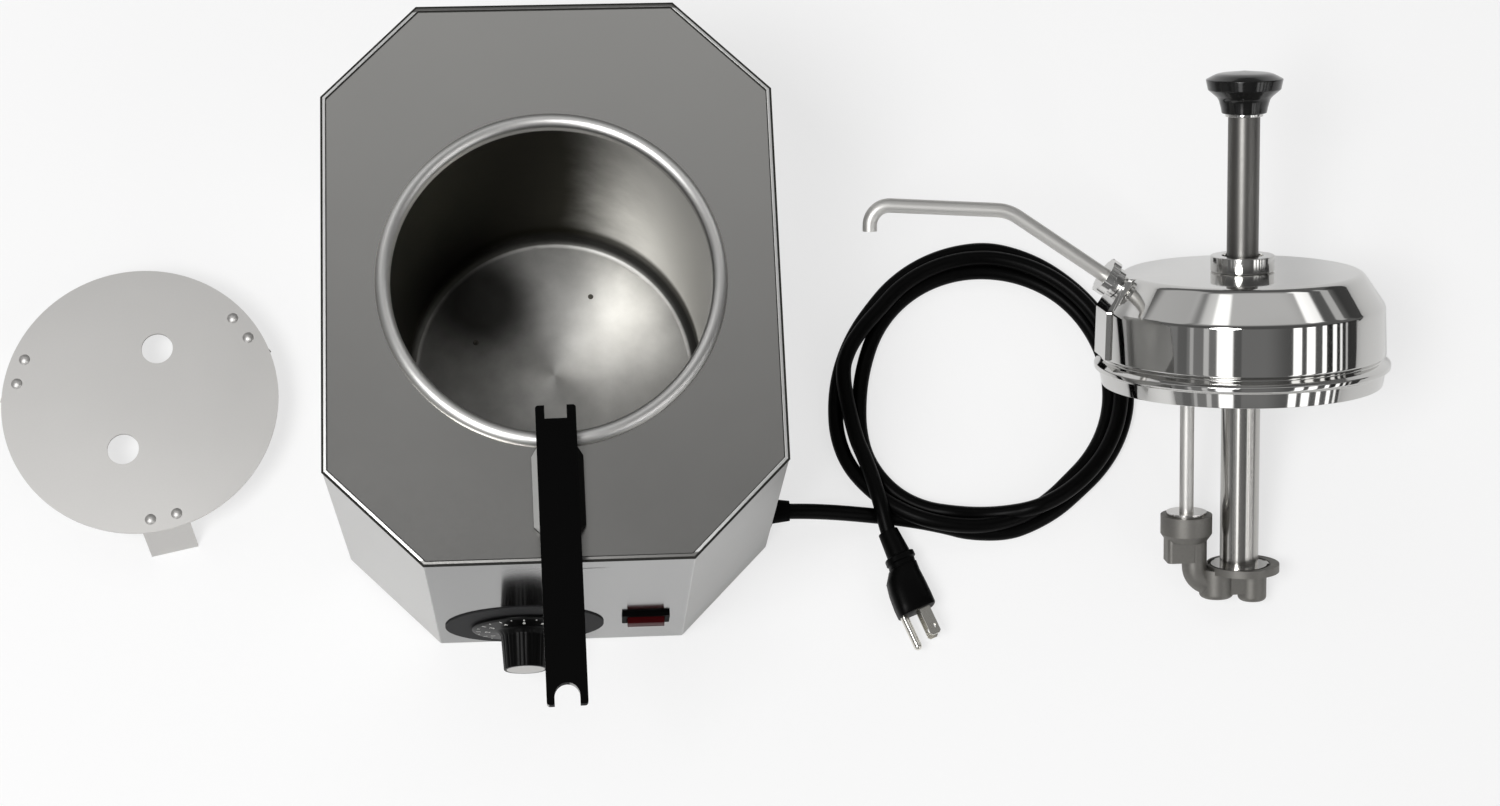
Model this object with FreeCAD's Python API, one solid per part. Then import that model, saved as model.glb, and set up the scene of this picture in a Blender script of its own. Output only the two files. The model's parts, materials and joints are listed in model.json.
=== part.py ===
"""Hot topping warmer with its pump: heated well housing, riser plate, wrench, pump and mains cord.

Row frame in millimetres: origin on the counter under the middle of the housing,
+X to the right, +Y to the back, +Z up. The pump lies on its lid and its valve, as it is laid out.
"""
import FreeCAD
import Part
import math
import os

overrun = 1.0               # how far a cut passes the face it opens

# Housing
housing_width = 241.0
housing_depth = 310.0
housing_height = 191.6      # from the wrap's bottom edge to its top edge
corner_cut = 51.2           # each cut corner, measured along both sides
wrap_sheet = 0.9
bend_radius = 2.4
bottom_lip = 12.0           # inward flange the base plate rests on
foot_height = 6.0
foot_radius = 9.0
foot_inset = 32.0
foot_taper_share = 0.86
foot_cavity_radius = 5.0
foot_screw_radius = 2.0
foot_screw_head = 3.8
foot_screw_head_height = 2.2
foot_screw_length = 13.0
lip_screw_radius = 1.6
lip_screw_head = 2.9
lip_screw_head_height = 1.9
lip_screw_length = 7.0

# Top deck and its seam
deck_sheet = 1.0
deck_seam = 0.45
deck_drop = 0.6             # deck face below the wrap's top edge
deck_skirt = 10.0
corner_relief = 1.3
slot_width = 51.0
slot_height = 1.3
slot_drop = 16.0            # slot below the top edge
slot_offset = -1.0

# Well
well_radius = 84.9
well_offset = -1.3          # well axis behind or in front of the middle
well_wall = 0.9
well_floor_height = 23.0
well_fillet = 6.0
bead_width = 7.8
bead_upright = 0.6
deck_hole_gap = 1.7
stud_radius = 3.0
stud_length = 13.0

# Heater under the well and the lagging round it
element_radius = 3.3
element_ring = 58.0
element_gap_deg = 70.0
element_tail = 14.0
clamp_radius = 68.0
clamp_sheet = 1.5
nut_flats = 10.0
nut_height = 4.0
lagging_gap = 0.3
lagging_fill_share = 0.418  # of the narrowest room between the pot and what is round it
wire_bay = 5.0              # room for wires behind the thermostat
lagging_bottom = 30.0
lagging_top_gap = 14.0

# Thermostat, its dial plate and knob
dial_centre_share = 0.14791  # how far left of the middle, of the front flat's width
dial_size_share = 0.3189    # the plate's radius, of the front flat's width
dial_z = 50.0
dial_sheet = 0.8
bush_radius = 5.0
bush_reach = 3.6            # bush beyond the panel
thermostat_width = 40.0
thermostat_height = 34.0
thermostat_depth = 26.0
shaft_radius = 3.0
shaft_reach = 15.0
shaft_inside = 8.0
running_gap = 0.05
panel_nut_flats = 14.0
panel_nut_height = 2.2
knob_gap = 0.7
skirt_radius = 29.5
skirt_height = 3.0
skirt_rim = 1.2
grip_radius = 12.2
grip_foot_radius = 13.6
knob_reach = 26.0
knob_pocket_radius = 9.5
knob_pocket_depth = 3.4
insert_radius = 10.6
insert_height = 0.8
bulb_radius = 4.0
bulb_length = 60.0
capillary_radius = 1.0
capillary_lane_share = 0.42  # how far off centre it passes through the element's gap

# Power switch
switch_centre_share = 0.3391  # how far right of the middle, of the front flat's width
switch_z = 62.0
bezel_width = 26.4
bezel_height = 17.6
bezel_reach = 2.2
bezel_lip = 2.2
rocker_width = 20.4
rocker_height = 12.4
rocker_gap = 0.4
rocker_tilt_deg = 7.0
rocker_crown = 4.6          # rocker beyond the bezel's face at its middle
rocker_root = 4.4
pivot_inset = 3.0
pivot_radius = 1.1
switch_depth = 20.0
switch_wall = 1.2
tab_width = 6.3
tab_sheet = 0.8
tab_length = 8.0

# Inside wiring
block_width = 34.0
block_depth = 16.0
block_height = 14.0
block_side_gap = 58.5       # from the housing's right side to the block's middle
block_front_gap = 43.0
wire_radius = 1.3
ground_screw_radius = 2.0
ground_screw_head = 3.6

# Mains cord
cord_radius = 4.5
cord_exit_inset = 16.1      # behind the fold of the front right corner
cord_exit_z = 24.0
relief_flange = 9.5
relief_flange_height = 2.0
relief_hole = 7.2
relief_nose = 5.9
relief_outside = 13.0
relief_inside = 10.0
coil_x = 254.8
coil_y = -12.0
coil_inner_turn = 76.2
coil_outer_turn = 88.8
lead_route = [(114.0, -87.7, 24.0), (138.0, -87.5, 22.6), (160.0, -86.9, 14.6), (182.0, -87.6, 7.4),
              (205.0, -90.2, 4.9), (226.0, -94.9, 4.8), (240.0, -99.4, 4.8)]
tail_route = [(174.9, -34.0, 11.4), (178.6, -52.0, 14.0), (182.9, -70.0, 15.6), (187.6, -86.5, 15.4),
              (192.3, -102.6, 11.6), (196.7, -113.8, 11.2)]

# Mains plug, laid with one blade above the other and the ground pin to the left
plug_x = 190.8
plug_y = -98.9
plug_z = 11.2
plug_heading_deg = -68.5
plug_neck_radius = 6.4
plug_neck_length = 16.0
plug_body_length = 34.3
plug_body_width = 25.0
plug_body_height = 20.6
plug_shift = -3.4
plug_round = 4.0
blade_gap = 12.7
blade_width = 6.3
blade_sheet = 1.5
blade_length = 17.0
pin_radius = 2.4
pin_length = 21.0
pin_offset = 11.9
prong_root = 6.0

# Riser plate
plate_gap = 39.2            # between the plate and the housing's side
plate_y = -11.6
plate_radius = 78.9
plate_sheet = 1.6
plate_top = 29.0
plate_hole_radius = 9.0
plate_hole_reach = 32.4
plate_hole_reach_near = 30.4
plate_hole_deg = 73.5
plate_hole_near_deg = 252.2
leg_headings_deg = {"leg_right": 36.6, "leg_left": 164.4, "leg_front": 281.6}
leg_width = 27.0
leg_sheet = 1.5
leg_flange_inner = 63.0
leg_bend_reach = 76.5
leg_foot_reach = {"leg_right": 79.5, "leg_left": 85.0, "leg_front": 85.0}
rivet_reach = 71.0
rivet_pitch = 15.0
rivet_shank = 1.6
rivet_head_radius = 3.2
rivet_head_height = 1.5
rivet_tail_radius = 2.4
rivet_tail_height = 1.2

# Wrench laid over the rim
wrench_length = 154.4
wrench_width = 21.0
wrench_thickness = 8.5
wrench_back_y = -74.7
wrench_back_x = -0.1
wrench_yaw_deg = 0.8
wrench_gap = 0.35
wrench_round = 1.6
far_jaw_width = 11.5
far_jaw_depth = 7.0
near_jaw_width = 13.0
near_jaw_depth = 11.0
wing_start = 22.3           # sloped wings along its sides, from the back end
wing_end = 64.8
wing_reach = 2.9

# Pump: heights along its own axis are measured from the can rim, up towards the push knob
pump_gap = 189.4            # between the housing's side and the lid's flange
pump_y = -22.7
pump_yaw_deg = 0.56
lid_sheet = 0.8
lid_height = 55.0
lid_top_radius = 67.8
shoulder_radius = 80.5
shoulder_height = 36.0
wall_radius = 81.5
wall_foot = 8.3
seat_radius = 79.0
seat_height = 6.2
flange_radius = 84.1
flange_top = 3.0
flange_bottom = 0.4
band_top = -1.0
band_top_radius = 81.2
band_depth = 9.3
band_radius = 79.8
boss_width = 30.0
boss_rise = 1.0
gate_radius = 6.6
gate_run = 7.0

plunger_radius = 9.0
plunger_wall = 0.9
plunger_top = 143.4
cylinder_radius = 11.1
cylinder_wall = 1.1
cylinder_thread_top = 60.0
cylinder_step_radius = 15.0
cylinder_step = 1.6
collar_radius = 17.3
collar_top = 62.5
foot_flange_radius = 16.2
foot_flange_sheet = 1.8
foot_lug_width = 7.0
foot_lug_gap = 0.3          # lugs clear of the recess wall
foot_lugs = 3

piston_radius = 9.6
piston_height = 12.0
piston_top = -6.0
seal_groove = 1.4
seal_height = 4.0
spring_wire = 0.9
spring_turn_radius = 7.2
spring_turns = 11.0
spring_gap = 0.3

knob_foot_radius = 12.8
knob_foot_height = 145.2
knob_waist_radius = 13.4
knob_waist_height = 148.4
knob_low_edge_radius = 20.5
knob_low_edge_height = 159.7
knob_edge_radius = 21.7
knob_edge_height = 164.6
knob_top_height = 169.2
washer_radius = 10.6

riser_offset = 31.3
tube_radius = 4.1
tube_wall = 0.8
riser_bend_height = 21.3
spout_bend_out = 134.9
spout_bend_height = 94.1
spout_end_out = 213.6
spout_end_height = 100.0
tip_out = 213.8
tip_height = 85.0
riser_bend_radius = 18.0
spout_bend_radius = 24.0
tip_bend_radius = 11.0
nut_out = 78.1
nut_height_up = 54.2
nut_radius = 10.7
nut_thickness = 5.2
nut_lobes = 10
nut_flute = 1.5
fitting_radius = 8.6
fitting_nose = 6.2
fitting_inside = 3.0

valve_flange_radius = 21.0
valve_flange_shift = 2.4
valve_flange_top = -117.0
valve_flange_bottom = -121.4
valve_recess = 2.0
valve_recess_radius = 18.0
inlet_offset = 8.0
inlet_radius = 8.3
valve_bottom = -139.4
outlet_bottom = -136.8
outlet_offset = 13.3
outlet_radius = 9.9
lobe_round = 2.6
web_share = 0.8             # web between the lobes, of the inlet lobe's width
passage_height = -128.0
pipe_offset = 26.4
pipe_radius = 7.2
pipe_bend_radius = 10.5
block_outer = 43.4
block_bottom = -114.0
block_half_depth = 7.6
socket_radius = 14.9
socket_top = -86.5
socket_bottom = -97.5
socket_neck_radius = 11.8
socket_neck_height = -102.0
bore_radius = 3.4
ball_radius = 4.75
ball_chamber = 5.2
seat_bore = 3.8
ball_seat_gap = 0.05
inlet_seat = -134.5
inlet_ceiling = -122.6
inlet_port_offset = 5.0
outlet_seat = -96.0
outlet_port_offset = 5.6
ring_wire = 1.0
ring_squeeze_gap = 0.02
tube_foot_radius = 11.6
tube_foot_sheet = 1.8

# Derived places of the housing
half_width = housing_width / 2
half_depth = housing_depth / 2
wrap_bottom = foot_height - wrap_sheet
wrap_top = wrap_bottom + housing_height
deck_top = wrap_top - deck_drop
front = -half_depth
front_flat = housing_width - 2 * corner_cut
dial_x = -front_flat * dial_centre_share
dial_radius = front_flat * dial_size_share
switch_x = front_flat * switch_centre_share
block_x = half_width - block_side_gap
block_y = front + block_front_gap
cord_exit_y = front + corner_cut + cord_exit_inset
pot_bottom = well_floor_height - well_wall
bead_mid = well_radius + bead_width / 2
bead_top = deck_top + bead_upright + bead_width / 2
bead_outer = well_radius + bead_width

X = FreeCAD.Vector(1, 0, 0)
Y = FreeCAD.Vector(0, 1, 0)
Z = FreeCAD.Vector(0, 0, 1)
ORIGIN = FreeCAD.Vector(0, 0, 0)


def at(x, y, z):
    return FreeCAD.Vector(x, y, z)


def block(x0, x1, y0, y1, z0, z1):
    return Part.makeBox(x1 - x0, y1 - y0, z1 - z0, at(x0, y0, z0))


def rod(radius, start, end):
    return Part.makeCylinder(radius, (end - start).Length, start, end - start)


def pillar(radius, x, y, z0, z1):
    return Part.makeCylinder(radius, z1 - z0, at(x, y, z0))


def outline(points, lift):
    """Closed face through the points; a point with a third entry is reached by an arc through it."""
    edges = []
    ring = points + points[:1]
    for here, there in zip(ring, ring[1:]):
        start, end = lift(*here[:2]), lift(*there[:2])
        if (end - start).Length < 1e-7:
            continue
        if len(there) > 2:
            edges.append(Part.Arc(start, lift(*there[2]), end).toShape())
        else:
            edges.append(Part.makeLine(start, end))
    return Part.Face(Part.Wire(edges))


def lathe(points):
    """Solid of revolution about Z from an outline of (radius, height) points."""
    return outline(points, lambda r, z: at(r, 0, z)).revolve(ORIGIN, Z, 360)


def cap_middle(radius, base, rise):
    """Middle of the outline of a spherical cap, half way from its edge to its top."""
    ball = (radius ** 2 + rise ** 2) / (2 * rise)
    half = math.asin(radius / ball) / 2
    return ball * math.sin(half), base + rise - ball + ball * math.cos(half)


def slab(points, z0, z1):
    """Upright prism from an outline of (x, y) points."""
    return outline(points, lambda x, y: at(x, y, z0)).extrude(at(0, 0, z1 - z0))


def rounded(solid, radius, direction):
    """Fillet every straight edge that runs along the direction."""
    picked = [edge for edge in solid.Edges if isinstance(edge.Curve, Part.Line)
              and abs(abs(edge.Curve.Direction.dot(direction)) - 1) < 1e-6]
    return solid.makeFillet(radius, picked)


def octagon(inset):
    """Outline of the housing, inset evenly on all eight sides."""
    w, d = half_width - inset, half_depth - inset
    c = corner_cut - inset * (2 - math.sqrt(2))
    return [(w, d - c), (w - c, d), (c - w, d), (-w, d - c),
            (-w, c - d), (c - w, -d), (w - c, -d), (w, c - d)]


def hexagon(flats, z0, z1):
    corner = flats / math.sqrt(3)
    turns = [math.radians(60 * k) for k in range(6)]
    return slab([(corner * math.cos(a), corner * math.sin(a)) for a in turns], z0, z1)


def joined(solids):
    shape = solids[0].multiFuse(solids[1:]) if len(solids) > 1 else solids[0]
    return shape.removeSplitter()


def placed(shape, placement):
    moved = shape.copy()
    moved.Placement = placement.multiply(moved.Placement)
    return moved


def turned(shape, degrees, x=0.0, y=0.0):
    """Turn about the upright line through (x, y)."""
    moved = shape.copy()
    moved.rotate(at(x, y, 0), Z, degrees)
    return moved


def shifted(shape, x, y, z):
    moved = shape.copy()
    moved.translate(at(x, y, z))
    return moved


def bent_path(points, radii):
    """Straight runs joined by tangent arcs, one radius for each inner point."""
    points = [at(*p) for p in points]
    edges, start = [], points[0]
    for before, corner, after, radius in zip(points, points[1:], points[2:], radii):
        back = (before - corner).normalize()
        on = (after - corner).normalize()
        half = back.getAngle(on) / 2
        reach = radius / math.tan(half)
        bisector = (back + on).normalize()
        middle = corner + bisector * (radius / math.sin(half) - radius)
        edges.append(Part.makeLine(start, corner + back * reach))
        edges.append(Part.Arc(corner + back * reach, middle, corner + on * reach).toShape())
        start = corner + on * reach
    edges.append(Part.makeLine(start, points[-1]))
    return Part.Wire(edges)


def pipe(path, radius):
    """Round bar along a path."""
    first = path.OrderedEdges[0]
    direction = first.tangentAt(first.FirstParameter)
    section = Part.Wire(Part.makeCircle(radius, first.Vertexes[0].Point, direction))
    return path.makePipeShell([section], True, False)


def cord_path(route, name):
    """Arcs as large as the runs allow; prints what they measure."""
    points = [at(*p) for p in route]
    radii = []
    for before, corner, after in zip(points, points[1:], points[2:]):
        turn = math.pi - (before - corner).getAngle(after - corner)
        shorter = min((before - corner).Length, (after - corner).Length)
        radii.append(0.45 * shorter / math.tan(turn / 2))
    path = bent_path(route, radii)
    runs = [(b - a).Length for a, b in zip(points, points[1:])]
    print(name, "length", round(path.Length, 1), "radii", [round(r) for r in radii],
          "runs", [round(r, 1) for r in runs])
    return path


def save(name, shape):
    solids = shape.Solids
    assert solids and all(s.isValid() and s.Volume > 0 for s in solids), name
    whole = solids[0] if len(solids) == 1 else Part.makeCompound(solids)
    whole.exportStep(os.path.join("parts", name + ".step"))
    box = whole.BoundBox
    print(name, len(solids), "solid", round(whole.Volume), "mm3",
          [round(v, 1) for v in (box.XMin, box.YMin, box.ZMin, box.XMax, box.YMax, box.ZMax)])


def housing():
    """Folded wrap with its lip, the deck set into it, the base plate, screws and feet."""
    outer = rounded(slab(octagon(0), wrap_bottom, wrap_top), bend_radius, Z)
    inside = slab(octagon(wrap_sheet), foot_height, wrap_top + overrun)
    inside = rounded(inside, bend_radius - wrap_sheet, Z)
    mouth = slab(octagon(wrap_sheet + bottom_lip), wrap_bottom - overrun, foot_height + overrun)
    through = (front - overrun, front + wrap_sheet + overrun)
    slot_z = wrap_top - slot_drop
    bush_hole = rod(bush_radius, at(dial_x, through[0], dial_z), at(dial_x, through[1], dial_z))
    case_w, case_h = bezel_width / 2 - bezel_lip, bezel_height / 2 - bezel_lip
    switch_hole = block(switch_x - case_w, switch_x + case_w, *through, switch_z - case_h, switch_z + case_h)
    half_slot = slot_width / 2
    slot = block(slot_offset - half_slot, slot_offset + half_slot, *through, slot_z, slot_z + slot_height)
    cord_hole = rod(relief_hole, at(half_width - wrap_sheet - overrun, cord_exit_y, cord_exit_z),
                    at(half_width + overrun, cord_exit_y, cord_exit_z))
    spots = lip_screw_spots()
    holes = [pillar(lip_screw_radius, x, y, wrap_bottom - overrun, foot_height + wrap_sheet + overrun)
             for x, y in spots]
    save("housing_wrap", outer.cut([inside, mouth, bush_hole, switch_hole, slot, cord_hole] + holes))

    edge = wrap_sheet + deck_seam
    deck = slab(octagon(edge), deck_top - deck_sheet, deck_top)
    skirt = slab(octagon(edge), deck_top - deck_skirt, deck_top)
    skirt = skirt.cut(slab(octagon(edge + deck_sheet), deck_top - deck_skirt - overrun, deck_top + overrun))
    reliefs = [pillar(corner_relief, x, y, deck_top - deck_skirt - overrun, deck_top + overrun)
               for x, y in octagon(edge)]
    opening = pillar(well_radius + well_wall + deck_hole_gap, 0, well_offset,
                     deck_top - deck_skirt, deck_top + overrun)
    save("top_deck", joined([deck, skirt]).cut([opening] + reliefs))

    base = slab(octagon(wrap_sheet + deck_seam), foot_height, foot_height + wrap_sheet)
    feet = foot_spots()
    holes += [pillar(foot_screw_radius, x, y, foot_height - overrun, foot_height + wrap_sheet + overrun)
              for x, y in feet]
    save("base_plate", base.cut(holes))
    save("base_screws", Part.makeCompound([shifted(lip_screw(), x, y, 0) for x, y in spots]))
    save("rubber_feet", Part.makeCompound([shifted(foot(), x, y, 0) for x, y in feet]))
    save("foot_screws", Part.makeCompound([shifted(foot_screw(), x, y, 0) for x, y in feet]))


def lip_screw_spots():
    """Eight places on the bottom lip: two to each long side and two to each short one."""
    x = half_width - wrap_sheet - bottom_lip / 2
    y = half_depth - wrap_sheet - bottom_lip / 2
    along_x = (half_width - corner_cut) / 2
    along_y = (half_depth - corner_cut) / 2
    return [(sx * x, sy * along_y) for sx in (-1, 1) for sy in (-1, 1)] + \
           [(sx * along_x, sy * y) for sx in (-1, 1) for sy in (-1, 1)]


def lip_screw():
    head = pillar(lip_screw_head, 0, 0, wrap_bottom - lip_screw_head_height, wrap_bottom)
    return joined([head, pillar(lip_screw_radius, 0, 0, wrap_bottom, wrap_bottom + lip_screw_length)])


def foot_spots():
    x = half_width - foot_inset
    y = half_depth - corner_cut
    return [(sx * x, sy * y) for sx in (-1, 1) for sy in (-1, 1)]


def foot():
    waist = foot_radius * foot_taper_share
    pad = lathe([(0, 0), (waist, 0), (foot_radius, foot_height), (0, foot_height)])
    seat = foot_height / 2
    return pad.cut([pillar(foot_cavity_radius, 0, 0, -overrun, seat),
                    pillar(foot_screw_radius, 0, 0, 0, foot_height + overrun)])


def foot_screw():
    seat = foot_height / 2
    head = pillar(foot_screw_head, 0, 0, seat - foot_screw_head_height, seat)
    return joined([head, pillar(foot_screw_radius, 0, 0, seat, seat + foot_screw_length)])


def well():
    """Drawn pot with a rolled bead that hangs on the deck, and the stud for its heater clamp."""
    out = well_radius + well_wall
    turn_in = well_fillet * (1 - math.sqrt(0.5))
    fillet_out = well_fillet + well_wall
    turn_out = fillet_out * (1 - math.sqrt(0.5))
    shoulder = deck_top + bead_upright
    pot = lathe([(0, well_floor_height), (well_radius - well_fillet, well_floor_height),
                 (well_radius, well_floor_height + well_fillet,
                  (well_radius - turn_in, well_floor_height + turn_in)),
                 (well_radius, shoulder), (bead_outer, shoulder, (bead_mid, bead_top)),
                 (bead_outer, deck_top), (bead_outer - well_wall, deck_top),
                 (bead_outer - well_wall, shoulder), (out, shoulder, (bead_mid, bead_top - well_wall)),
                 (out, pot_bottom + fillet_out),
                 (out - fillet_out, pot_bottom, (out - turn_out, pot_bottom + turn_out)), (0, pot_bottom)])
    stud = pillar(stud_radius, 0, 0, pot_bottom - stud_length, pot_bottom)
    save("well_pot", shifted(joined([pot, stud]), 0, well_offset, 0))

    lagging_bore = out + lagging_gap
    lagging_top = deck_top - deck_skirt - lagging_top_gap
    reach = min(half_width, half_depth + well_offset - thermostat_depth - wire_bay) - wrap_sheet
    lagging_outer = lagging_bore + (reach - lagging_bore) * lagging_fill_share
    lagging = pillar(lagging_outer, 0, 0, lagging_bottom, lagging_top)
    lagging = lagging.cut(pillar(lagging_bore, 0, 0, lagging_bottom - overrun, lagging_top + overrun))
    save("insulation_blanket", shifted(lagging, 0, well_offset, 0))


def heater():
    """Ring element under the pot, held up by a plate and a nut on the pot's stud."""
    z = pot_bottom - element_radius
    profile = Part.Wire(Part.makeCircle(element_radius, at(element_ring, 0, z), Y))
    arc = Part.makeCircle(element_ring, at(0, 0, z), Z, 0, 360 - element_gap_deg)
    ring = Part.Wire(arc).makePipeShell([profile], True, False)
    end = math.radians(360 - element_gap_deg)
    tails = []
    for angle, sign in ((0, -1), (end, 1)):
        start = at(element_ring * math.cos(angle), element_ring * math.sin(angle), z)
        along = at(-math.sin(angle), math.cos(angle), 0) * sign
        tails.append(rod(element_radius / 2, start, start + along * element_tail))
    element = turned(joined([ring] + tails), -90 + element_gap_deg / 2)
    save("heater_element", shifted(element, 0, well_offset, 0))
    top = pot_bottom - 2 * element_radius
    clamp = pillar(clamp_radius, 0, 0, top - clamp_sheet, top)
    clamp = clamp.cut(pillar(stud_radius, 0, 0, top - clamp_sheet - overrun, top + overrun))
    slot = block(-bulb_reach() - bulb_radius, -bulb_reach() + bulb_radius, -clamp_radius,
                 bulb_length / 2 + bulb_radius, top - clamp_sheet - overrun, top + overrun)
    save("heater_clamp", shifted(clamp.cut(slot), 0, well_offset, 0))
    nut = hexagon(nut_flats, top - clamp_sheet - nut_height, top - clamp_sheet)
    nut = nut.cut(pillar(stud_radius, 0, 0, top - clamp_sheet - nut_height - overrun, top))
    save("clamp_nut", shifted(nut, 0, well_offset, 0))


def bulb_reach():
    """Distance from the pot's axis to the bulb, between the stud nut and the ring element."""
    return (nut_flats + element_ring) / 2


def thermostat():
    """Thermostat behind the panel with its bush, nut, sensing bulb, dial plate, shaft and knob."""
    back = front + wrap_sheet
    half_w, half_h = thermostat_width / 2, thermostat_height / 2
    case = block(dial_x - half_w, dial_x + half_w, back, back + thermostat_depth,
                 dial_z - half_h, dial_z + half_h)
    bush_end = front - dial_sheet - bush_reach
    bush = rod(bush_radius, at(dial_x, bush_end, dial_z), at(dial_x, back, dial_z))
    bore = rod(shaft_radius + running_gap, at(dial_x, bush_end - overrun, dial_z),
               at(dial_x, back + shaft_inside + running_gap, dial_z))
    save("thermostat_body", joined([case, bush]).cut(bore))

    outward = FreeCAD.Placement(at(dial_x, front, dial_z), FreeCAD.Rotation(X, 90))
    plate = pillar(dial_radius, 0, 0, 0, dial_sheet)
    plate = plate.cut(pillar(bush_radius, 0, 0, -overrun, dial_sheet + overrun))
    save("dial_plate", placed(plate, outward))
    nut = hexagon(panel_nut_flats, dial_sheet, dial_sheet + panel_nut_height)
    nut = nut.cut(pillar(bush_radius, 0, 0, 0, dial_sheet + panel_nut_height + overrun))
    save("thermostat_nut", placed(nut, outward))

    shaft = pillar(shaft_radius, 0, 0, -wrap_sheet - shaft_inside, shaft_reach)
    save("thermostat_shaft", placed(shaft, outward))
    foot_at = dial_sheet + knob_gap
    end = knob_reach
    body = lathe([(0, foot_at), (skirt_radius, foot_at), (skirt_radius, foot_at + skirt_rim),
                  (grip_foot_radius, foot_at + skirt_height), (grip_radius, end), (0, end)])
    pocket = pillar(knob_pocket_radius, 0, 0, foot_at - overrun, foot_at + knob_pocket_depth)
    bore = pillar(shaft_radius, 0, 0, foot_at, shaft_reach)
    face = pillar(insert_radius, 0, 0, end - insert_height, end + overrun)
    save("thermostat_knob", placed(body.cut([pocket, bore, face]), outward))
    save("knob_insert", placed(pillar(insert_radius, 0, 0, end - insert_height, end), outward))

    bulb_x = -bulb_reach()
    bulb_z = pot_bottom - bulb_radius
    bulb_start = at(bulb_x, well_offset - bulb_length / 2, bulb_z)
    bulb = rod(bulb_radius, bulb_start, bulb_start + Y * bulb_length)
    case_back = back + thermostat_depth
    lane = -element_ring * math.sin(math.radians(element_gap_deg / 2)) * capillary_lane_share
    capillary = bent_path([(dial_x, case_back, dial_z - thermostat_height / 4),
                           (lane, case_back + thermostat_depth / 2, bulb_z),
                           (lane, well_offset - element_ring, bulb_z),
                           (bulb_x, bulb_start.y - bulb_length / 8, bulb_z),
                           (bulb_x, bulb_start.y, bulb_z)], [bulb_radius * 2, bulb_radius * 2, bulb_radius])
    save("thermostat_bulb", joined([bulb, pipe(capillary, capillary_radius)]))


def power_switch():
    """Switch case with its bezel, and the rocker on its own pivot pins."""
    half_w, half_h = bezel_width / 2, bezel_height / 2
    face = front - bezel_reach
    bezel = block(switch_x - half_w, switch_x + half_w, face, front, switch_z - half_h, switch_z + half_h)
    bezel = rounded(bezel, bezel_lip / 2, Y)
    case = block(switch_x - half_w + bezel_lip, switch_x + half_w - bezel_lip, front, front + switch_depth,
                 switch_z - half_h + bezel_lip, switch_z + half_h - bezel_lip)
    room_w = rocker_width / 2 + rocker_gap
    room_h = rocker_height / 2 + rocker_gap
    pivot_y = front + pivot_inset
    room_back = pivot_y + math.hypot(room_h, rocker_root)
    room = block(switch_x - room_w, switch_x + room_w, face - overrun, room_back,
                 switch_z - room_h, switch_z + room_h)
    socket = rod(pivot_radius + running_gap, at(switch_x - room_w - switch_wall / 2, pivot_y, switch_z),
                 at(switch_x + room_w + switch_wall / 2, pivot_y, switch_z))
    tabs = [block(switch_x + k * tab_width - tab_sheet / 2, switch_x + k * tab_width + tab_sheet / 2,
                  front + switch_depth, front + switch_depth + tab_length,
                  switch_z - tab_width / 2, switch_z + tab_width / 2) for k in (-1, 0, 1)]
    save("switch_body", joined([bezel, case] + tabs).cut([room, socket]))

    # The rocker's front is two flat wings that meet in a shallow valley at the pivot line
    reach = pivot_inset + bezel_reach + rocker_crown
    tip = room_h - 2 * rocker_gap
    valley = reach - tip * math.tan(math.radians(rocker_tilt_deg))
    wing = reach - bezel_reach
    profile = [(-tip, 0), (-tip, wing), (0, valley), (tip, wing), (tip, 0),
               (0, -rocker_root, (tip * math.sqrt(0.5), -rocker_root * math.sqrt(0.5))),
               (-tip, 0, (-tip * math.sqrt(0.5), -rocker_root * math.sqrt(0.5)))]
    side = rocker_width / 2
    body = outline(profile, lambda h, r: at(-side, -r, h)).extrude(at(rocker_width, 0, 0))
    pins = rod(pivot_radius, at(-side - rocker_gap - switch_wall / 3, 0, 0),
               at(side + rocker_gap + switch_wall / 3, 0, 0))
    rocker = joined([body, pins])
    rocker.rotate(ORIGIN, X, rocker_tilt_deg)
    save("rocker_button", shifted(rocker, switch_x, pivot_y, switch_z))


def wiring():
    """Terminal block, ground screw and the wires between cord, switch, thermostat and element."""
    floor = foot_height + wrap_sheet
    half_w, half_d = block_width / 2, block_depth / 2
    save("terminal_block", block(block_x - half_w, block_x + half_w, block_y - half_d, block_y + half_d,
                                 floor, floor + block_height))
    ground = at(block_x - block_width, block_y, floor)
    under_head = ground + Z * (wire_radius * 2)
    head = rod(ground_screw_head, under_head, under_head + Z * lip_screw_head_height)
    shank = rod(ground_screw_radius, ground, under_head)
    save("ground_screw", joined([head, shank]))
    top = floor + block_height
    reach = block_height
    relief_end = half_width - wrap_sheet - relief_inside
    switch_back = front + switch_depth + tab_length
    runs = [[(relief_end, cord_exit_y, cord_exit_z),
             (block_x + half_w + reach / 2, block_y, top + reach / 2), (block_x + half_w / 2, block_y, top)],
            [(switch_x, switch_back, switch_z),
             (block_x - half_w / 2, block_y - half_d, (switch_z + top) / 2), (block_x, block_y, top)],
            [(switch_x - tab_width, switch_back, switch_z),
             ((switch_x + dial_x) / 2, switch_back + reach / 4, switch_z + reach / 2),
             (dial_x + thermostat_width / 2, front + thermostat_depth / 2, dial_z + thermostat_height / 4)]]
    wires = [pipe(bent_path(run, [reach / 4]), wire_radius) for run in runs]
    save("inner_wires", Part.makeCompound(wires))


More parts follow.
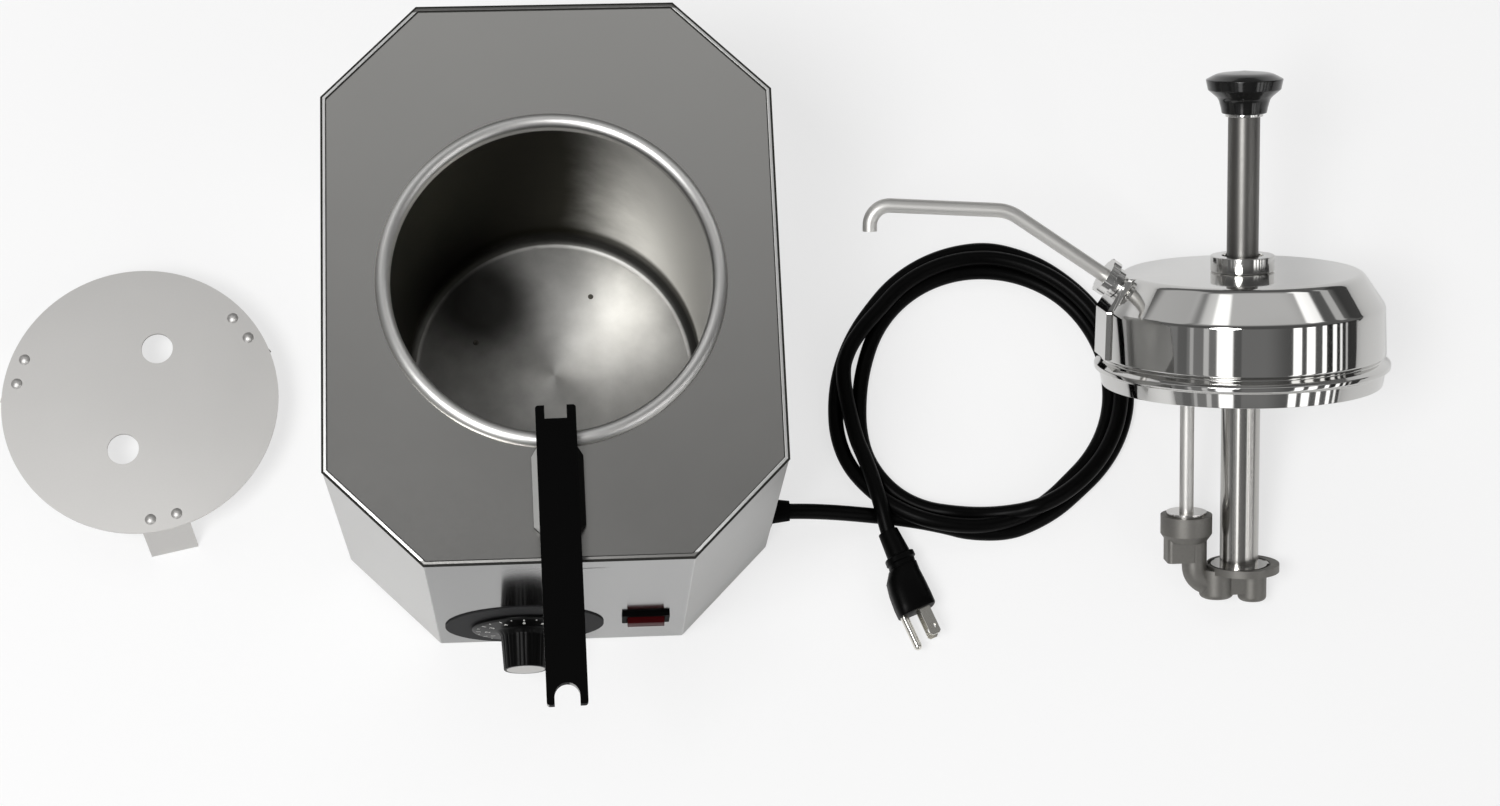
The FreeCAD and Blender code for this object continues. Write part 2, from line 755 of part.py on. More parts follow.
def mains_cord():
    """Strain relief, the cord in three pieces and the moulded plug with its prongs."""
    start = at(half_width - wrap_sheet - relief_inside, cord_exit_y, cord_exit_z)
    turn = FreeCAD.Placement(at(half_width, cord_exit_y, cord_exit_z), FreeCAD.Rotation(Y, 90))
    inner = -wrap_sheet - relief_inside
    body = lathe([(0, inner), (relief_hole - wrap_sheet, inner), (relief_hole, -wrap_sheet),
                  (relief_hole, 0), (relief_flange, 0), (relief_flange, relief_flange_height),
                  (relief_hole, relief_flange_height + wrap_sheet), (relief_nose, relief_outside),
                  (0, relief_outside)])
    lead = pipe(cord_path(lead_route, "cord_lead"), cord_radius)
    relief = placed(body, turn)
    mouth = at(lead_route[0][0], cord_exit_y, cord_exit_z)
    bore = [rod(cord_radius, start - X * overrun, mouth),
            rod(cord_radius, mouth, mouth + at(*lead_route[1]) - at(*lead_route[0]))]
    save("strain_relief", relief.cut([lead] + bore))
    save("cord_lead", lead)

    rise = math.sqrt((2 * cord_radius) ** 2 - ((coil_outer_turn - coil_inner_turn) / 2) ** 2)
    middle = (coil_inner_turn + coil_outer_turn) / 2
    lean = at(rise, (coil_outer_turn - coil_inner_turn) / 2, 0).normalize() * cord_radius
    centre = cord_radius
    section = [(coil_inner_turn, 0), (coil_outer_turn, 0),
               (coil_outer_turn + lean.x, centre + lean.y,
                (coil_outer_turn + cord_radius * math.cos(math.radians(-30)),
                 centre + cord_radius * math.sin(math.radians(-30)))),
               (middle + lean.x, centre + rise + lean.y),
               (middle - lean.x, centre + rise + lean.y, (middle, centre + rise + cord_radius)),
               (coil_inner_turn - lean.x, centre + lean.y),
               (coil_inner_turn, 0, (coil_inner_turn - cord_radius * math.cos(math.radians(-30)),
                                     centre + cord_radius * math.sin(math.radians(-30))))]
    save("cord_coil", shifted(lathe(section), coil_x, coil_y, 0))

    heading = FreeCAD.Rotation(Z, plug_heading_deg)
    frame = FreeCAD.Placement(at(plug_x, plug_y, plug_z), heading)
    tail = pipe(cord_path(tail_route, "cord_tail"), cord_radius)
    neck_end = plug_neck_length
    body_end = plug_neck_length + plug_body_length
    half_h = plug_body_height / 2
    low = plug_shift - plug_body_width / 2
    neck = Part.makeCone(plug_neck_radius, half_h - plug_round, neck_end, ORIGIN, X)
    shoulder = Part.makeBox(plug_body_length, plug_body_width, plug_body_height, at(neck_end, low, -half_h))
    shoulder = rounded(shoulder, plug_round, X)
    plug = joined([neck, shoulder])
    blades = []
    for side in (-1, 1):
        corner = at(body_end - prong_root, -blade_width / 2, (side * blade_gap - blade_sheet) / 2)
        blades.append(Part.makeBox(blade_length + prong_root, blade_width, blade_sheet, corner))
    pin = rod(pin_radius, at(body_end - prong_root, -pin_offset, 0),
              at(body_end + pin_length - pin_radius, -pin_offset, 0))
    tip = Part.makeSphere(pin_radius, at(body_end + pin_length - pin_radius, -pin_offset, 0))
    pin = joined([pin, tip])
    plug = placed(plug.cut(blades + [pin]), frame).cut(tail)
    save("cord_tail", tail)
    save("plug_body", plug)
    save("plug_blades", placed(Part.makeCompound(blades), frame))
    save("ground_pin", placed(pin, frame))


def riser_plate():
    """Perforated plate on three riveted legs that lifts a can off the well's floor."""
    x = -(half_width + plate_gap + plate_radius)
    under = plate_top - plate_sheet
    plate = pillar(plate_radius, 0, 0, under, plate_top)
    holes = []
    spots = ((plate_hole_reach, plate_hole_deg), (plate_hole_reach_near, plate_hole_near_deg))
    for reach, heading in spots:
        a = math.radians(heading)
        holes.append(pillar(plate_hole_radius, reach * math.cos(a), reach * math.sin(a),
                            under - overrun, plate_top + overrun))
    rivets, shanks = [], []
    flange_bottom_z = under - leg_sheet
    for heading in leg_headings_deg.values():
        for side in (-1, 1):
            tail_end = flange_bottom_z - rivet_tail_height
            rivet = lathe([(0, tail_end), (rivet_tail_radius, tail_end),
                           (rivet_tail_radius, flange_bottom_z), (rivet_shank, flange_bottom_z),
                           (rivet_shank, plate_top), (rivet_head_radius, plate_top),
                           (0, plate_top + rivet_head_height,
                            cap_middle(rivet_head_radius, plate_top, rivet_head_height))])
            spot = (rivet_reach, side * rivet_pitch / 2)
            rivets.append(turned(shifted(rivet, *spot, 0), heading))
            shank = pillar(rivet_shank, *spot, flange_bottom_z - overrun, plate_top + overrun)
            shanks.append(turned(shank, heading))
    save("riser_plate", shifted(plate.cut(holes + shanks), x, plate_y, 0))
    save("plate_rivets", Part.makeCompound([shifted(r, x, plate_y, 0) for r in rivets]))

    half = leg_width / 2
    for name, heading in leg_headings_deg.items():
        fall = math.atan2(leg_foot_reach[name] - leg_bend_reach, under)
        skin = leg_sheet / math.cos(fall)
        toe = leg_sheet * math.sin(fall)
        side_view = [(leg_flange_inner, under), (leg_bend_reach, under), (leg_foot_reach[name], 0),
                     (leg_foot_reach[name] - skin, 0), (leg_bend_reach - skin + toe, under - leg_sheet),
                     (leg_flange_inner, under - leg_sheet)]
        leg = outline(side_view, lambda r, z: at(r, -half, z)).extrude(at(0, leg_width, 0))
        leg = turned(leg, heading).cut(shanks)
        save(name, shifted(leg, x, plate_y, 0))


def wrench():
    """Flat wrench with an open jaw at each end and sloped wings, laid on the bead and the front edge."""
    bead_front_y = well_offset - bead_mid
    slope = math.atan2(bead_top - wrap_top, bead_front_y - front)
    half = wrench_width / 2
    bar = block(-half, half, -wrench_length, 0, 0, wrench_thickness)
    bar = rounded(bar, wrench_round, Z)
    reach = half + wing_reach
    plan = [(half, -wing_start), (reach, -wing_start - wing_reach), (reach, wing_reach - wing_end),
            (half, -wing_end), (-half, -wing_end), (-reach, wing_reach - wing_end),
            (-reach, -wing_start - wing_reach), (-half, -wing_start)]
    section = [(reach, 0), (half, wrench_thickness), (-half, wrench_thickness), (-reach, 0)]
    slopes = outline(section, lambda x, z: at(x, -wing_end, z)).extrude(at(0, wing_end - wing_start, 0))
    bar = joined([bar, slab(plan, 0, wrench_thickness).common(slopes)])
    far = block(-far_jaw_width / 2, far_jaw_width / 2, -far_jaw_depth, overrun,
                -overrun, wrench_thickness + overrun)
    curve = near_jaw_width / 2
    near_end = -wrench_length
    near = joined([block(-curve, curve, near_end - overrun, near_end + near_jaw_depth - curve,
                         -overrun, wrench_thickness + overrun),
                   pillar(curve, 0, near_end + near_jaw_depth - curve, -overrun,
                          wrench_thickness + overrun)])
    bar = bar.cut([far, near])
    tilt = FreeCAD.Rotation(Z, wrench_yaw_deg).multiply(FreeCAD.Rotation(X, math.degrees(slope)))
    lift = wrench_gap / math.cos(slope)
    back_z = bead_top + (wrench_back_y - bead_front_y) * math.tan(slope) + lift
    save("pump_wrench", placed(bar, FreeCAD.Placement(at(wrench_back_x, wrench_back_y, back_z), tilt)))


def pump_rest():
    """Where the pump lies: its lid's band and its valve's flange both touch the counter."""
    span = band_depth_to_foot()
    tilt = math.atan2(band_radius - valve_flange_radius, span)
    height = band_radius * math.cos(tilt) + band_depth * math.sin(tilt)
    x = half_width + pump_gap + flange_radius
    lay = FreeCAD.Rotation(Z, pump_yaw_deg).multiply(FreeCAD.Rotation(X, math.degrees(tilt) - 90))
    print("pump tilt", round(math.degrees(tilt), 3), "rim centre", round(x, 2), pump_y, round(height, 3))
    print("pump axis", [round(v, 6) for v in lay.multVec(Z)])
    return FreeCAD.Placement(at(x, pump_y, height), lay)


def band_depth_to_foot():
    return -valve_flange_bottom - band_depth


def spout_direction():
    return at(-(nut_out - riser_offset), 0, nut_height_up - riser_bend_height).normalize()


def pump_lid(place):
    """Drawn lid: top, sloped shoulder, wall, can seat, flange and band, with a flat boss for the spout."""
    t = lid_sheet
    skin = [(0, lid_height), (lid_top_radius, lid_height), (shoulder_radius, shoulder_height),
            (wall_radius, wall_foot), (seat_radius, seat_height), (flange_radius, flange_top),
            (flange_radius, flange_bottom), (band_top_radius, band_top), (band_radius, -band_depth),
            (0, -band_depth)]
    hollow = [(0, lid_height - t), (lid_top_radius - t / 2, lid_height - t),
              (shoulder_radius - t, shoulder_height - t / 3), (wall_radius - t, wall_foot + t / 3),
              (seat_radius - t, seat_height), (flange_radius - t, flange_top - t / 2),
              (flange_radius - t, flange_bottom + t / 3), (band_top_radius - t, band_top),
              (band_radius - t, -band_depth - overrun), (0, -band_depth - overrun)]
    run = shoulder_radius - lid_top_radius
    fall = lid_height - shoulder_height
    slope = math.hypot(run, fall)

    def boss(width, inset):
        rise = boss_rise - inset
        out_x, out_z = rise * fall / slope, rise * run / slope
        wall = wall_radius + rise
        ceiling = lid_height - inset
        bend = (wall, shoulder_height + out_z - (wall - shoulder_radius - out_x) * fall / run)
        top = (lid_top_radius + out_x + out_z * run / fall - (ceiling - lid_height) * run / fall, ceiling)
        side = [(-lid_top_radius / 2, wall_foot + inset), (-wall, wall_foot + inset), (-bend[0], bend[1]),
                (-top[0], top[1]), (-lid_top_radius / 2, ceiling)]
        return outline(side, lambda x, z: at(x, -width / 2, z)).extrude(at(0, width, 0))

    lid = joined([lathe(skin), boss(boss_width, 0)])
    room = joined([lathe(hollow), boss(boss_width - 2 * t, t)])
    along = spout_direction()
    foot_at = at(-nut_out, 0, nut_height_up) - along * (nut_out - lid_top_radius + nut_thickness)
    head_at = at(-nut_out, 0, nut_height_up) + along * nut_thickness
    down = at(-run, 0, -fall).normalize() * gate_run
    gate = [rod(gate_radius, foot_at, head_at), rod(gate_radius, foot_at + down, head_at + down)]
    bridge = Part.makePolygon([foot_at - Y * gate_radius, foot_at + down - Y * gate_radius,
                               head_at + down - Y * gate_radius, head_at - Y * gate_radius,
                               foot_at - Y * gate_radius])
    gate.append(Part.Face(bridge).extrude(Y * (2 * gate_radius)))
    hole = pillar(cylinder_radius, 0, 0, lid_height - t - overrun, lid_height + overrun)
    save("pump_lid", placed(lid.cut(room).cut(gate + [hole]), place))


def pump_cylinder(place):
    """Cylinder through the lid, the collar that locks it, its bayonet foot and its sealing ring."""
    recess_floor = valve_flange_top - valve_recess
    bore = cylinder_radius - cylinder_wall
    under_lid = lid_height - lid_sheet
    tube = joined([pillar(cylinder_radius, 0, 0, recess_floor, cylinder_thread_top),
                   pillar(cylinder_step_radius, 0, 0, under_lid - cylinder_step, under_lid)])
    tube = tube.cut(pillar(bore, 0, 0, recess_floor - overrun, cylinder_thread_top + overrun))
    save("cylinder_tube", placed(tube, place))
    foot_top = recess_floor + foot_flange_sheet
    lug = foot_lug_width / 2
    lug_end = math.sqrt((valve_recess_radius - foot_lug_gap) ** 2 - lug ** 2)
    lugs = [turned(block(0, lug_end, -lug, lug, recess_floor, foot_top), 360 * k / foot_lugs)
            for k in range(foot_lugs)]
    foot_ring = joined([pillar(foot_flange_radius, 0, 0, recess_floor, foot_top)] + lugs)
    foot_ring = foot_ring.cut(pillar(cylinder_radius, 0, 0, recess_floor - overrun,
                                     foot_top + overrun))
    save("cylinder_foot", placed(foot_ring, place))
    guide = plunger_radius + running_gap
    collar = lathe([(guide, cylinder_thread_top), (cylinder_radius, cylinder_thread_top),
                    (cylinder_radius, lid_height), (collar_radius, lid_height),
                    (collar_radius, collar_top), (guide, collar_top)])
    save("lock_collar", placed(collar, place))
    ring_radius = bore + cylinder_wall / 2
    ring = Part.makeTorus(ring_radius, ring_wire, at(0, 0, recess_floor - ring_wire - ring_squeeze_gap))
    save("cylinder_ring", placed(ring, place))


def discharge(place):
    """Riser and spout in one bent tube, its foot, its ring, the lobed nut and the fitting under it."""
    foot_z = socket_top + tube_foot_sheet
    points = [(-riser_offset, 0, socket_top), (-riser_offset, 0, riser_bend_height),
              (-spout_bend_out, 0, spout_bend_height), (-spout_end_out, 0, spout_end_height),
              (-tip_out, 0, tip_height)]
    path = bent_path(points, [riser_bend_radius, spout_bend_radius, tip_bend_radius])
    bar = pipe(path, tube_radius)
    tube = bar.cut(pipe(path, tube_radius - tube_wall))
    save("discharge_tube", placed(tube, place))

    foot_ring = pillar(tube_foot_radius, -riser_offset, 0, socket_top, foot_z)
    foot_ring = foot_ring.cut(pillar(tube_radius, -riser_offset, 0, socket_top - overrun, foot_z + overrun))
    save("tube_foot", placed(foot_ring, place))
    groove = ball_chamber + ring_wire * 2
    ring_height = socket_top - ring_wire - ring_squeeze_gap
    ring = Part.makeTorus(groove, ring_wire, at(-riser_offset, 0, ring_height))
    save("tube_ring", placed(ring, place))

    along = spout_direction()
    middle = at(-nut_out, 0, nut_height_up)
    stand = FreeCAD.Placement(middle, FreeCAD.Rotation(Z, along))
    half = nut_thickness / 2
    nut = pillar(nut_radius, 0, 0, -half, half)
    flutes = []
    for k in range(nut_lobes):
        a = 2 * math.pi * k / nut_lobes
        reach = nut_radius + nut_flute / 2
        flutes.append(pillar(nut_flute, reach * math.cos(a), reach * math.sin(a),
                             -half - overrun, half + overrun))
    nut = placed(nut.cut(flutes), stand).cut(bar)
    save("spout_nut", placed(nut, place))
    run = shoulder_radius - lid_top_radius
    fall = lid_height - shoulder_height
    slope = math.hypot(run, fall)
    normal = at(-fall / slope, 0, run / slope)
    face_point = at(-shoulder_radius, 0, shoulder_height) + normal * boss_rise
    depth = (middle - face_point).dot(normal) / along.dot(normal)
    fitting = joined([pillar(fitting_radius, 0, 0, -depth, -half),
                      pillar(fitting_nose, 0, 0, -depth - fitting_inside, -depth)])
    fitting = placed(fitting, stand).cut(bar)
    save("spout_fitting", placed(fitting, place))


def valve(place):
    """Cast valve body under the cylinder and riser, with its two check balls."""
    lobe_top = (valve_flange_top + valve_flange_bottom) / 2
    flange = pillar(valve_flange_radius, valve_flange_shift, 0, valve_flange_bottom, valve_flange_top)

    turn_in = lobe_round * (1 - math.sqrt(0.5))

    def lobe(radius, x, bottom):
        body = lathe([(0, bottom), (radius - lobe_round, bottom),
                      (radius, bottom + lobe_round, (radius - turn_in, bottom + turn_in)),
                      (radius, lobe_top), (0, lobe_top)])
        return shifted(body, x, 0, 0)

    elbow = bent_path([(-pipe_offset, 0, socket_neck_height), (-pipe_offset, 0, passage_height),
                       (-outlet_offset, 0, passage_height)], [pipe_bend_radius])
    web = block(-outlet_offset, inlet_offset, -inlet_radius * web_share, inlet_radius * web_share,
                valve_bottom + lobe_round * 2, lobe_top)
    socket = lathe([(0, socket_neck_height), (socket_neck_radius, socket_neck_height),
                    (socket_radius, socket_bottom), (socket_radius, socket_top), (0, socket_top)])
    side_block = block(-block_outer, -pipe_offset, -block_half_depth, block_half_depth,
                       block_bottom, socket_neck_height + lobe_round)
    side_block = rounded(side_block, lobe_round, Z)
    body = joined([flange, lobe(inlet_radius, inlet_offset, valve_bottom),
                   lobe(outlet_radius, -outlet_offset, outlet_bottom),
                   pipe(elbow, pipe_radius), web, shifted(socket, -riser_offset, 0, 0), side_block])

    recess_floor = valve_flange_top - valve_recess
    bore = cylinder_radius - cylinder_wall
    ring_radius = bore + cylinder_wall / 2
    seal_depth = 2 * ring_wire + 2 * ring_squeeze_gap

    def groove(radius, x, top):
        outside = pillar(radius + ring_wire, x, 0, top - seal_depth, top + overrun)
        return outside.cut(pillar(radius - ring_wire, x, 0, top - seal_depth, top + overrun))

    cuts = [pillar(valve_recess_radius, 0, 0, recess_floor, valve_flange_top + overrun),
            groove(ring_radius, 0, recess_floor),
            groove(ball_chamber + ring_wire * 2, -riser_offset, socket_top),
            pillar(ball_chamber, inlet_offset, 0, inlet_seat, inlet_ceiling),
            pillar(seat_bore, inlet_offset, 0, valve_bottom - overrun, inlet_seat + overrun),
            pillar(bore_radius, inlet_port_offset, 0, inlet_ceiling - overrun, recess_floor + overrun),
            pillar(bore_radius, -outlet_port_offset, 0, passage_height, recess_floor + overrun),
            rod(bore_radius, at(-outlet_port_offset, 0, passage_height),
                at(-pipe_offset, 0, passage_height)),
            pillar(bore_radius, -pipe_offset, 0, passage_height, outlet_seat - lobe_round * 2),
            pillar(seat_bore, -riser_offset, 0, outlet_seat - lobe_round * 3, outlet_seat + overrun),
            pillar(ball_chamber, -riser_offset, 0, outlet_seat, socket_top + overrun)]
    save("valve_body", placed(body.cut(cuts), place))

    nestle = math.sqrt(ball_radius ** 2 - seat_bore ** 2) + ball_seat_gap
    seats = {"inlet_ball": (inlet_offset, inlet_seat), "outlet_ball": (-riser_offset, outlet_seat)}
    for name, (x, seat) in seats.items():
        save(name, placed(Part.makeSphere(ball_radius, at(x, 0, seat + nestle)), place))


def plunger(place):
    """Plunger tube with its piston and seal, the washer and push knob on top, and the return spring."""
    inner = plunger_radius - plunger_wall
    piston_bottom = piston_top - piston_height
    tube = pillar(plunger_radius, 0, 0, piston_top, plunger_top)
    tube = tube.cut(pillar(inner, 0, 0, piston_top - overrun, plunger_top - plunger_wall * 2))
    save("plunger_tube", placed(tube, place))
    seal_top = (piston_top + piston_bottom + seal_height) / 2
    neck = piston_radius - seal_groove
    seal_foot = seal_top - seal_height
    piston = lathe([(0, piston_bottom), (piston_radius, piston_bottom), (piston_radius, seal_foot),
                    (neck, seal_foot), (neck, seal_top), (piston_radius, seal_top),
                    (piston_radius, piston_top), (0, piston_top)])
    plug = pillar(inner, 0, 0, piston_top, piston_top + piston_height)
    save("piston", placed(joined([piston, plug]), place))
    lip = cylinder_radius - cylinder_wall - running_gap
    seal = lathe([(neck, seal_foot), (lip, seal_foot), (lip, seal_top), (neck, seal_top)])
    save("piston_seal", placed(seal, place))
    washer = pillar(washer_radius, 0, 0, plunger_top, knob_foot_height)
    save("knob_washer", placed(washer, place))
    middle = (knob_waist_radius + knob_low_edge_radius) / 2
    flare = (middle - (knob_edge_radius - knob_low_edge_radius),
             (knob_waist_height + knob_low_edge_height) / 2)
    dome = cap_middle(knob_edge_radius, knob_edge_height, knob_top_height - knob_edge_height)
    knob = lathe([(0, knob_foot_height), (knob_foot_radius, knob_foot_height),
                  (knob_waist_radius, knob_waist_height),
                  (knob_low_edge_radius, knob_low_edge_height, flare), (knob_edge_radius, knob_edge_height),
                  (0, knob_top_height, dome)])
    save("push_knob", placed(knob, place))

    spring_foot = valve_flange_top - valve_recess + spring_wire + spring_gap
    spring_head = piston_bottom - spring_wire - spring_gap
    pitch = (spring_head - spring_foot) / spring_turns
    helix = Part.makeHelix(pitch, spring_head - spring_foot, spring_turn_radius)
    helix.translate(at(0, 0, spring_foot))
    section = Part.Wire(Part.makeCircle(spring_wire, at(spring_turn_radius, 0, spring_foot), Y))
    spring = Part.Wire(helix).makePipeShell([section], True, True)
    save("pump_spring", placed(spring, place))


os.makedirs("parts", exist_ok=True)
housing()
well()
heater()
thermostat()
power_switch()
wiring()
mains_cord()
riser_plate()
wrench()
pump_place = pump_rest()
pump_lid(pump_place)
pump_cylinder(pump_place)
discharge(pump_place)
valve(pump_place)
plunger(pump_place)
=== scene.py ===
import bmesh
import bpy
import json
import math
from mathutils import Matrix, Vector


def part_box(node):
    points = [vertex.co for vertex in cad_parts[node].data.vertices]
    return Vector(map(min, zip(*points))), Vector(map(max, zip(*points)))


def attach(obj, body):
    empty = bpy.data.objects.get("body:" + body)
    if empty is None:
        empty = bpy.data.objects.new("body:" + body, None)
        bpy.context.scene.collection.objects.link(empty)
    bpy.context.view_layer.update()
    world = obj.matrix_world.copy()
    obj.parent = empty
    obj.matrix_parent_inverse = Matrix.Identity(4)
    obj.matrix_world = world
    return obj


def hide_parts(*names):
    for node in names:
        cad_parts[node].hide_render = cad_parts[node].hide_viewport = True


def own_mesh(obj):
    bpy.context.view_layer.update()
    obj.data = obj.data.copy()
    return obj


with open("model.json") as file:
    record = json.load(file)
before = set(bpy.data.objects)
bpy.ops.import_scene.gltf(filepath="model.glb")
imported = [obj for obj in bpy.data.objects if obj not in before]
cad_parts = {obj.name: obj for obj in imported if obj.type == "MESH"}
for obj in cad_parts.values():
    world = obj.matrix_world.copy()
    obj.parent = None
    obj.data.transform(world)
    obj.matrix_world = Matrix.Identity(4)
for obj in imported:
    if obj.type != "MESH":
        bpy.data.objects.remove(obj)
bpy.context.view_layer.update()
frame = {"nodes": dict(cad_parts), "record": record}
scene = bpy.context.scene
nodes = frame["nodes"]
mounts = {mount["name"]: mount for mount in frame["record"]["mounts"]}
mm = 0.001
tau = 2 * math.pi


# Camera

view = {"place": (-0.0002, -0.4879, 1.5965), "turn": (16.64, -3.36, -2.64), "lens": 67.36, "film": 36.0}
lens = bpy.data.cameras.new("studioCamera")
lens.lens = view["lens"]
lens.sensor_width = view["film"]
camera = bpy.data.objects.new("studioCamera", lens)
camera.location = view["place"]
camera.rotation_euler = [math.radians(angle) for angle in view["turn"]]
scene.collection.objects.link(camera)
scene.camera = camera
scene.view_settings.view_transform = "Standard"


# Shader maths: a Wire is a socket that can be added, multiplied and so on

class Wire:
    def __init__(self, recipe, socket):
        self.recipe = recipe
        self.socket = socket

    def sum(self, operation, *terms):
        return self.recipe.node("ShaderNodeMath", {"operation": operation}, *terms)

    def __add__(self, other):
        return self.sum("ADD", self, other)

    def __sub__(self, other):
        return self.sum("SUBTRACT", self, other)

    def __rsub__(self, other):
        return self.sum("SUBTRACT", other, self)

    def __mul__(self, other):
        return self.sum("MULTIPLY", self, other)

    def __truediv__(self, other):
        return self.sum("DIVIDE", self, other)

    def __rtruediv__(self, other):
        return self.sum("DIVIDE", other, self)

    def __pow__(self, other):
        return self.sum("POWER", self, other)

    __radd__ = __add__
    __rmul__ = __mul__

    def rise(self, low, high, start=0.0, end=1.0):
        return self.recipe.node("ShaderNodeMapRange", {"interpolation_type": "SMOOTHSTEP"},
                                self, low, high, start, end)

    def fall(self, low, high):
        return self.rise(low, high, 1.0, 0.0)

    def band(self, start, full, fade, end):
        return self.rise(start, full) * self.fall(fade, end)


class Recipe:
    def __init__(self, tree):
        self.tree = tree
        tree.nodes.clear()

    def fill(self, socket, value):
        if isinstance(value, Wire):
            self.tree.links.new(value.socket, socket)
        elif isinstance(value, (tuple, list)) and socket.type == "RGBA":
            socket.default_value = (*value, 1)
        elif value is not None:
            socket.default_value = value

    def node(self, kind, settings, *values, output=0, **named):
        made = self.tree.nodes.new(kind)
        for name, value in settings.items():
            setattr(made, name, value)
        for socket, value in zip(made.inputs, values):
            self.fill(socket, value)
        for name, value in named.items():
            self.fill(made.inputs[name.replace("_", " ")], value)
        return Wire(self, made.outputs[output] if len(made.outputs) else made.inputs[0])

    def place(self, kind="Object"):
        return self.node("ShaderNodeTexCoord", {}, output=kind)

    def split(self, vector):
        outputs = self.node("ShaderNodeSeparateXYZ", {}, vector).socket.node.outputs
        return [Wire(self, socket) for socket in outputs]

    def join(self, x, y, z):
        return self.node("ShaderNodeCombineXYZ", {}, x, y, z)

    def dot(self, vector, line):
        return self.node("ShaderNodeVectorMath", {"operation": "DOT_PRODUCT"}, vector, tuple(line), output=1)

    def noise(self, vector, scale, detail, roughness=0.55):
        return self.node("ShaderNodeTexNoise", {}, Vector=vector, Scale=scale, Detail=detail,
                         Roughness=roughness)

    def blend(self, share, first, second):
        skipped = [None] * 5  # the sockets for numbers and vectors come before those for colours
        return self.node("ShaderNodeMix", {"data_type": "RGBA"}, share, *skipped, first, second, output=2)

    def bump(self, height, strength, depth):
        return self.node("ShaderNodeBump", {}, Strength=strength, Distance=depth * mm, Height=height)


class Finish(Recipe):
    def __init__(self, name, **fixed):
        self.material = bpy.data.materials.new(name)
        self.material.use_nodes = True
        super().__init__(self.material.node_tree)
        shader = self.node("ShaderNodeBsdfPrincipled", {})
        self.shader = shader.socket.node
        self.node("ShaderNodeOutputMaterial", {}, shader)
        self.set(**fixed)

    def set(self, **sockets):
        for name, value in sockets.items():
            self.fill(self.shader.inputs[name.replace("_", " ")], value)

    def fed(self, name):
        return Wire(self, self.shader.inputs[name].links[0].from_socket)


# Stage and light

light = {"horizon": 0.16, "zenith": 0.10, "skyRise": (-0.1, 0.9),
         # a glow high up at the back: strength, and where it starts and is full
         "back": 0.55, "backDepth": (0.12, 0.5), "backHeight": (0.5, 0.8),
         # each lamp: place, aim, width, height, strength
         "lamps": {"keyLamp": ((-0.72, -0.69, 2.18), (0.1, 0.0, 0.1), 0.8, 0.8, 16.0)}}

# what the polished pump mirrors: strips and cards round its axis, in degrees; below zero they darken
cards = {"axis": (-0.0087, 0.8855, 0.4645), "softSide": 0.35, "softEnd": 0.05,
         # strips, all between the same two levels along the axis: middle, half width, strength
         "levels": (-0.62, 0.12),
         "strips": ((-27.2, 7.4, 2.0), (30.6, 4.2, 2.0), (42.2, 4.4, 2.0), (54.5, 2.3, 2.0), (64.5, 2.3, 1.8),
                    (71.1, 1.4, 1.3), (77.1, 1.3, 0.6), (90.5, 2.0, 0.35), (-42, 2.6, 0.45), (-54, 1.8, 0.3),
                    (-85, 7, -0.07), (-62, 5, -0.09), (-17, 3.5, -0.08)),
         # the others: middle, half width, lowest and highest level, strength
         "others": ((-43, 70, -0.62, 0.15, 0.1), (85, 36, -0.5, 0.2, -0.11), (-89, 27, 0.5, 0.95, 0.42),
                    (-44, 18, 0.72, 0.92, 0.35), (-37, 11, 0.72, 0.92, 0.75), (60.5, 9.5, 0.6, 0.9, 1.2),
                    (84.5, 4.8, 0.45, 0.8, 0.45), (108, 18, 0.25, 0.75, -0.09))}

stage = {"shade": (0.95, 0.95, 0.95), "size": 6.0, "drop": 0.2,
         # how much of the floor is plain white to the camera, and to reflections
         "seen": 0.68, "mirrored": 0.2}


def makeWorld():
    world = bpy.data.worlds.new("studioWorld")
    world.use_nodes = True
    scene.world = world
    sky = Recipe(world.node_tree)
    way = sky.place("Generated")
    y, z = sky.split(way)[1:]
    axis = Vector(cards["axis"]).normalized()
    side = axis.cross(Vector((0, 0, 1))).normalized()
    level, right, ahead = (sky.dot(way, line) for line in (axis, side, side.cross(axis)))
    heading = sky.node("ShaderNodeMath", {"operation": "ARCTAN2"}, right, ahead)
    shade = z.rise(*light["skyRise"], light["horizon"], light["zenith"])
    shade = shade + light["back"] * y.rise(*light["backDepth"]) * z.rise(*light["backHeight"])
    strips = [(middle, half, *cards["levels"], strength) for middle, half, strength in cards["strips"]]
    edge = cards["softEnd"]
    for middle, half, low, high, strength in (*strips, *cards["others"]):
        first, last = math.radians(middle - half), math.radians(middle + half)
        soft = math.radians(half) * cards["softSide"]
        card = heading.band(first, first + soft, last - soft, last)
        shade = shade + strength * (card * level.band(low, low + edge, high - edge, high))
    glow = sky.node("ShaderNodeBackground", {}, sky.join(shade, shade, shade), 1.0)
    sky.node("ShaderNodeOutputWorld", {}, glow)


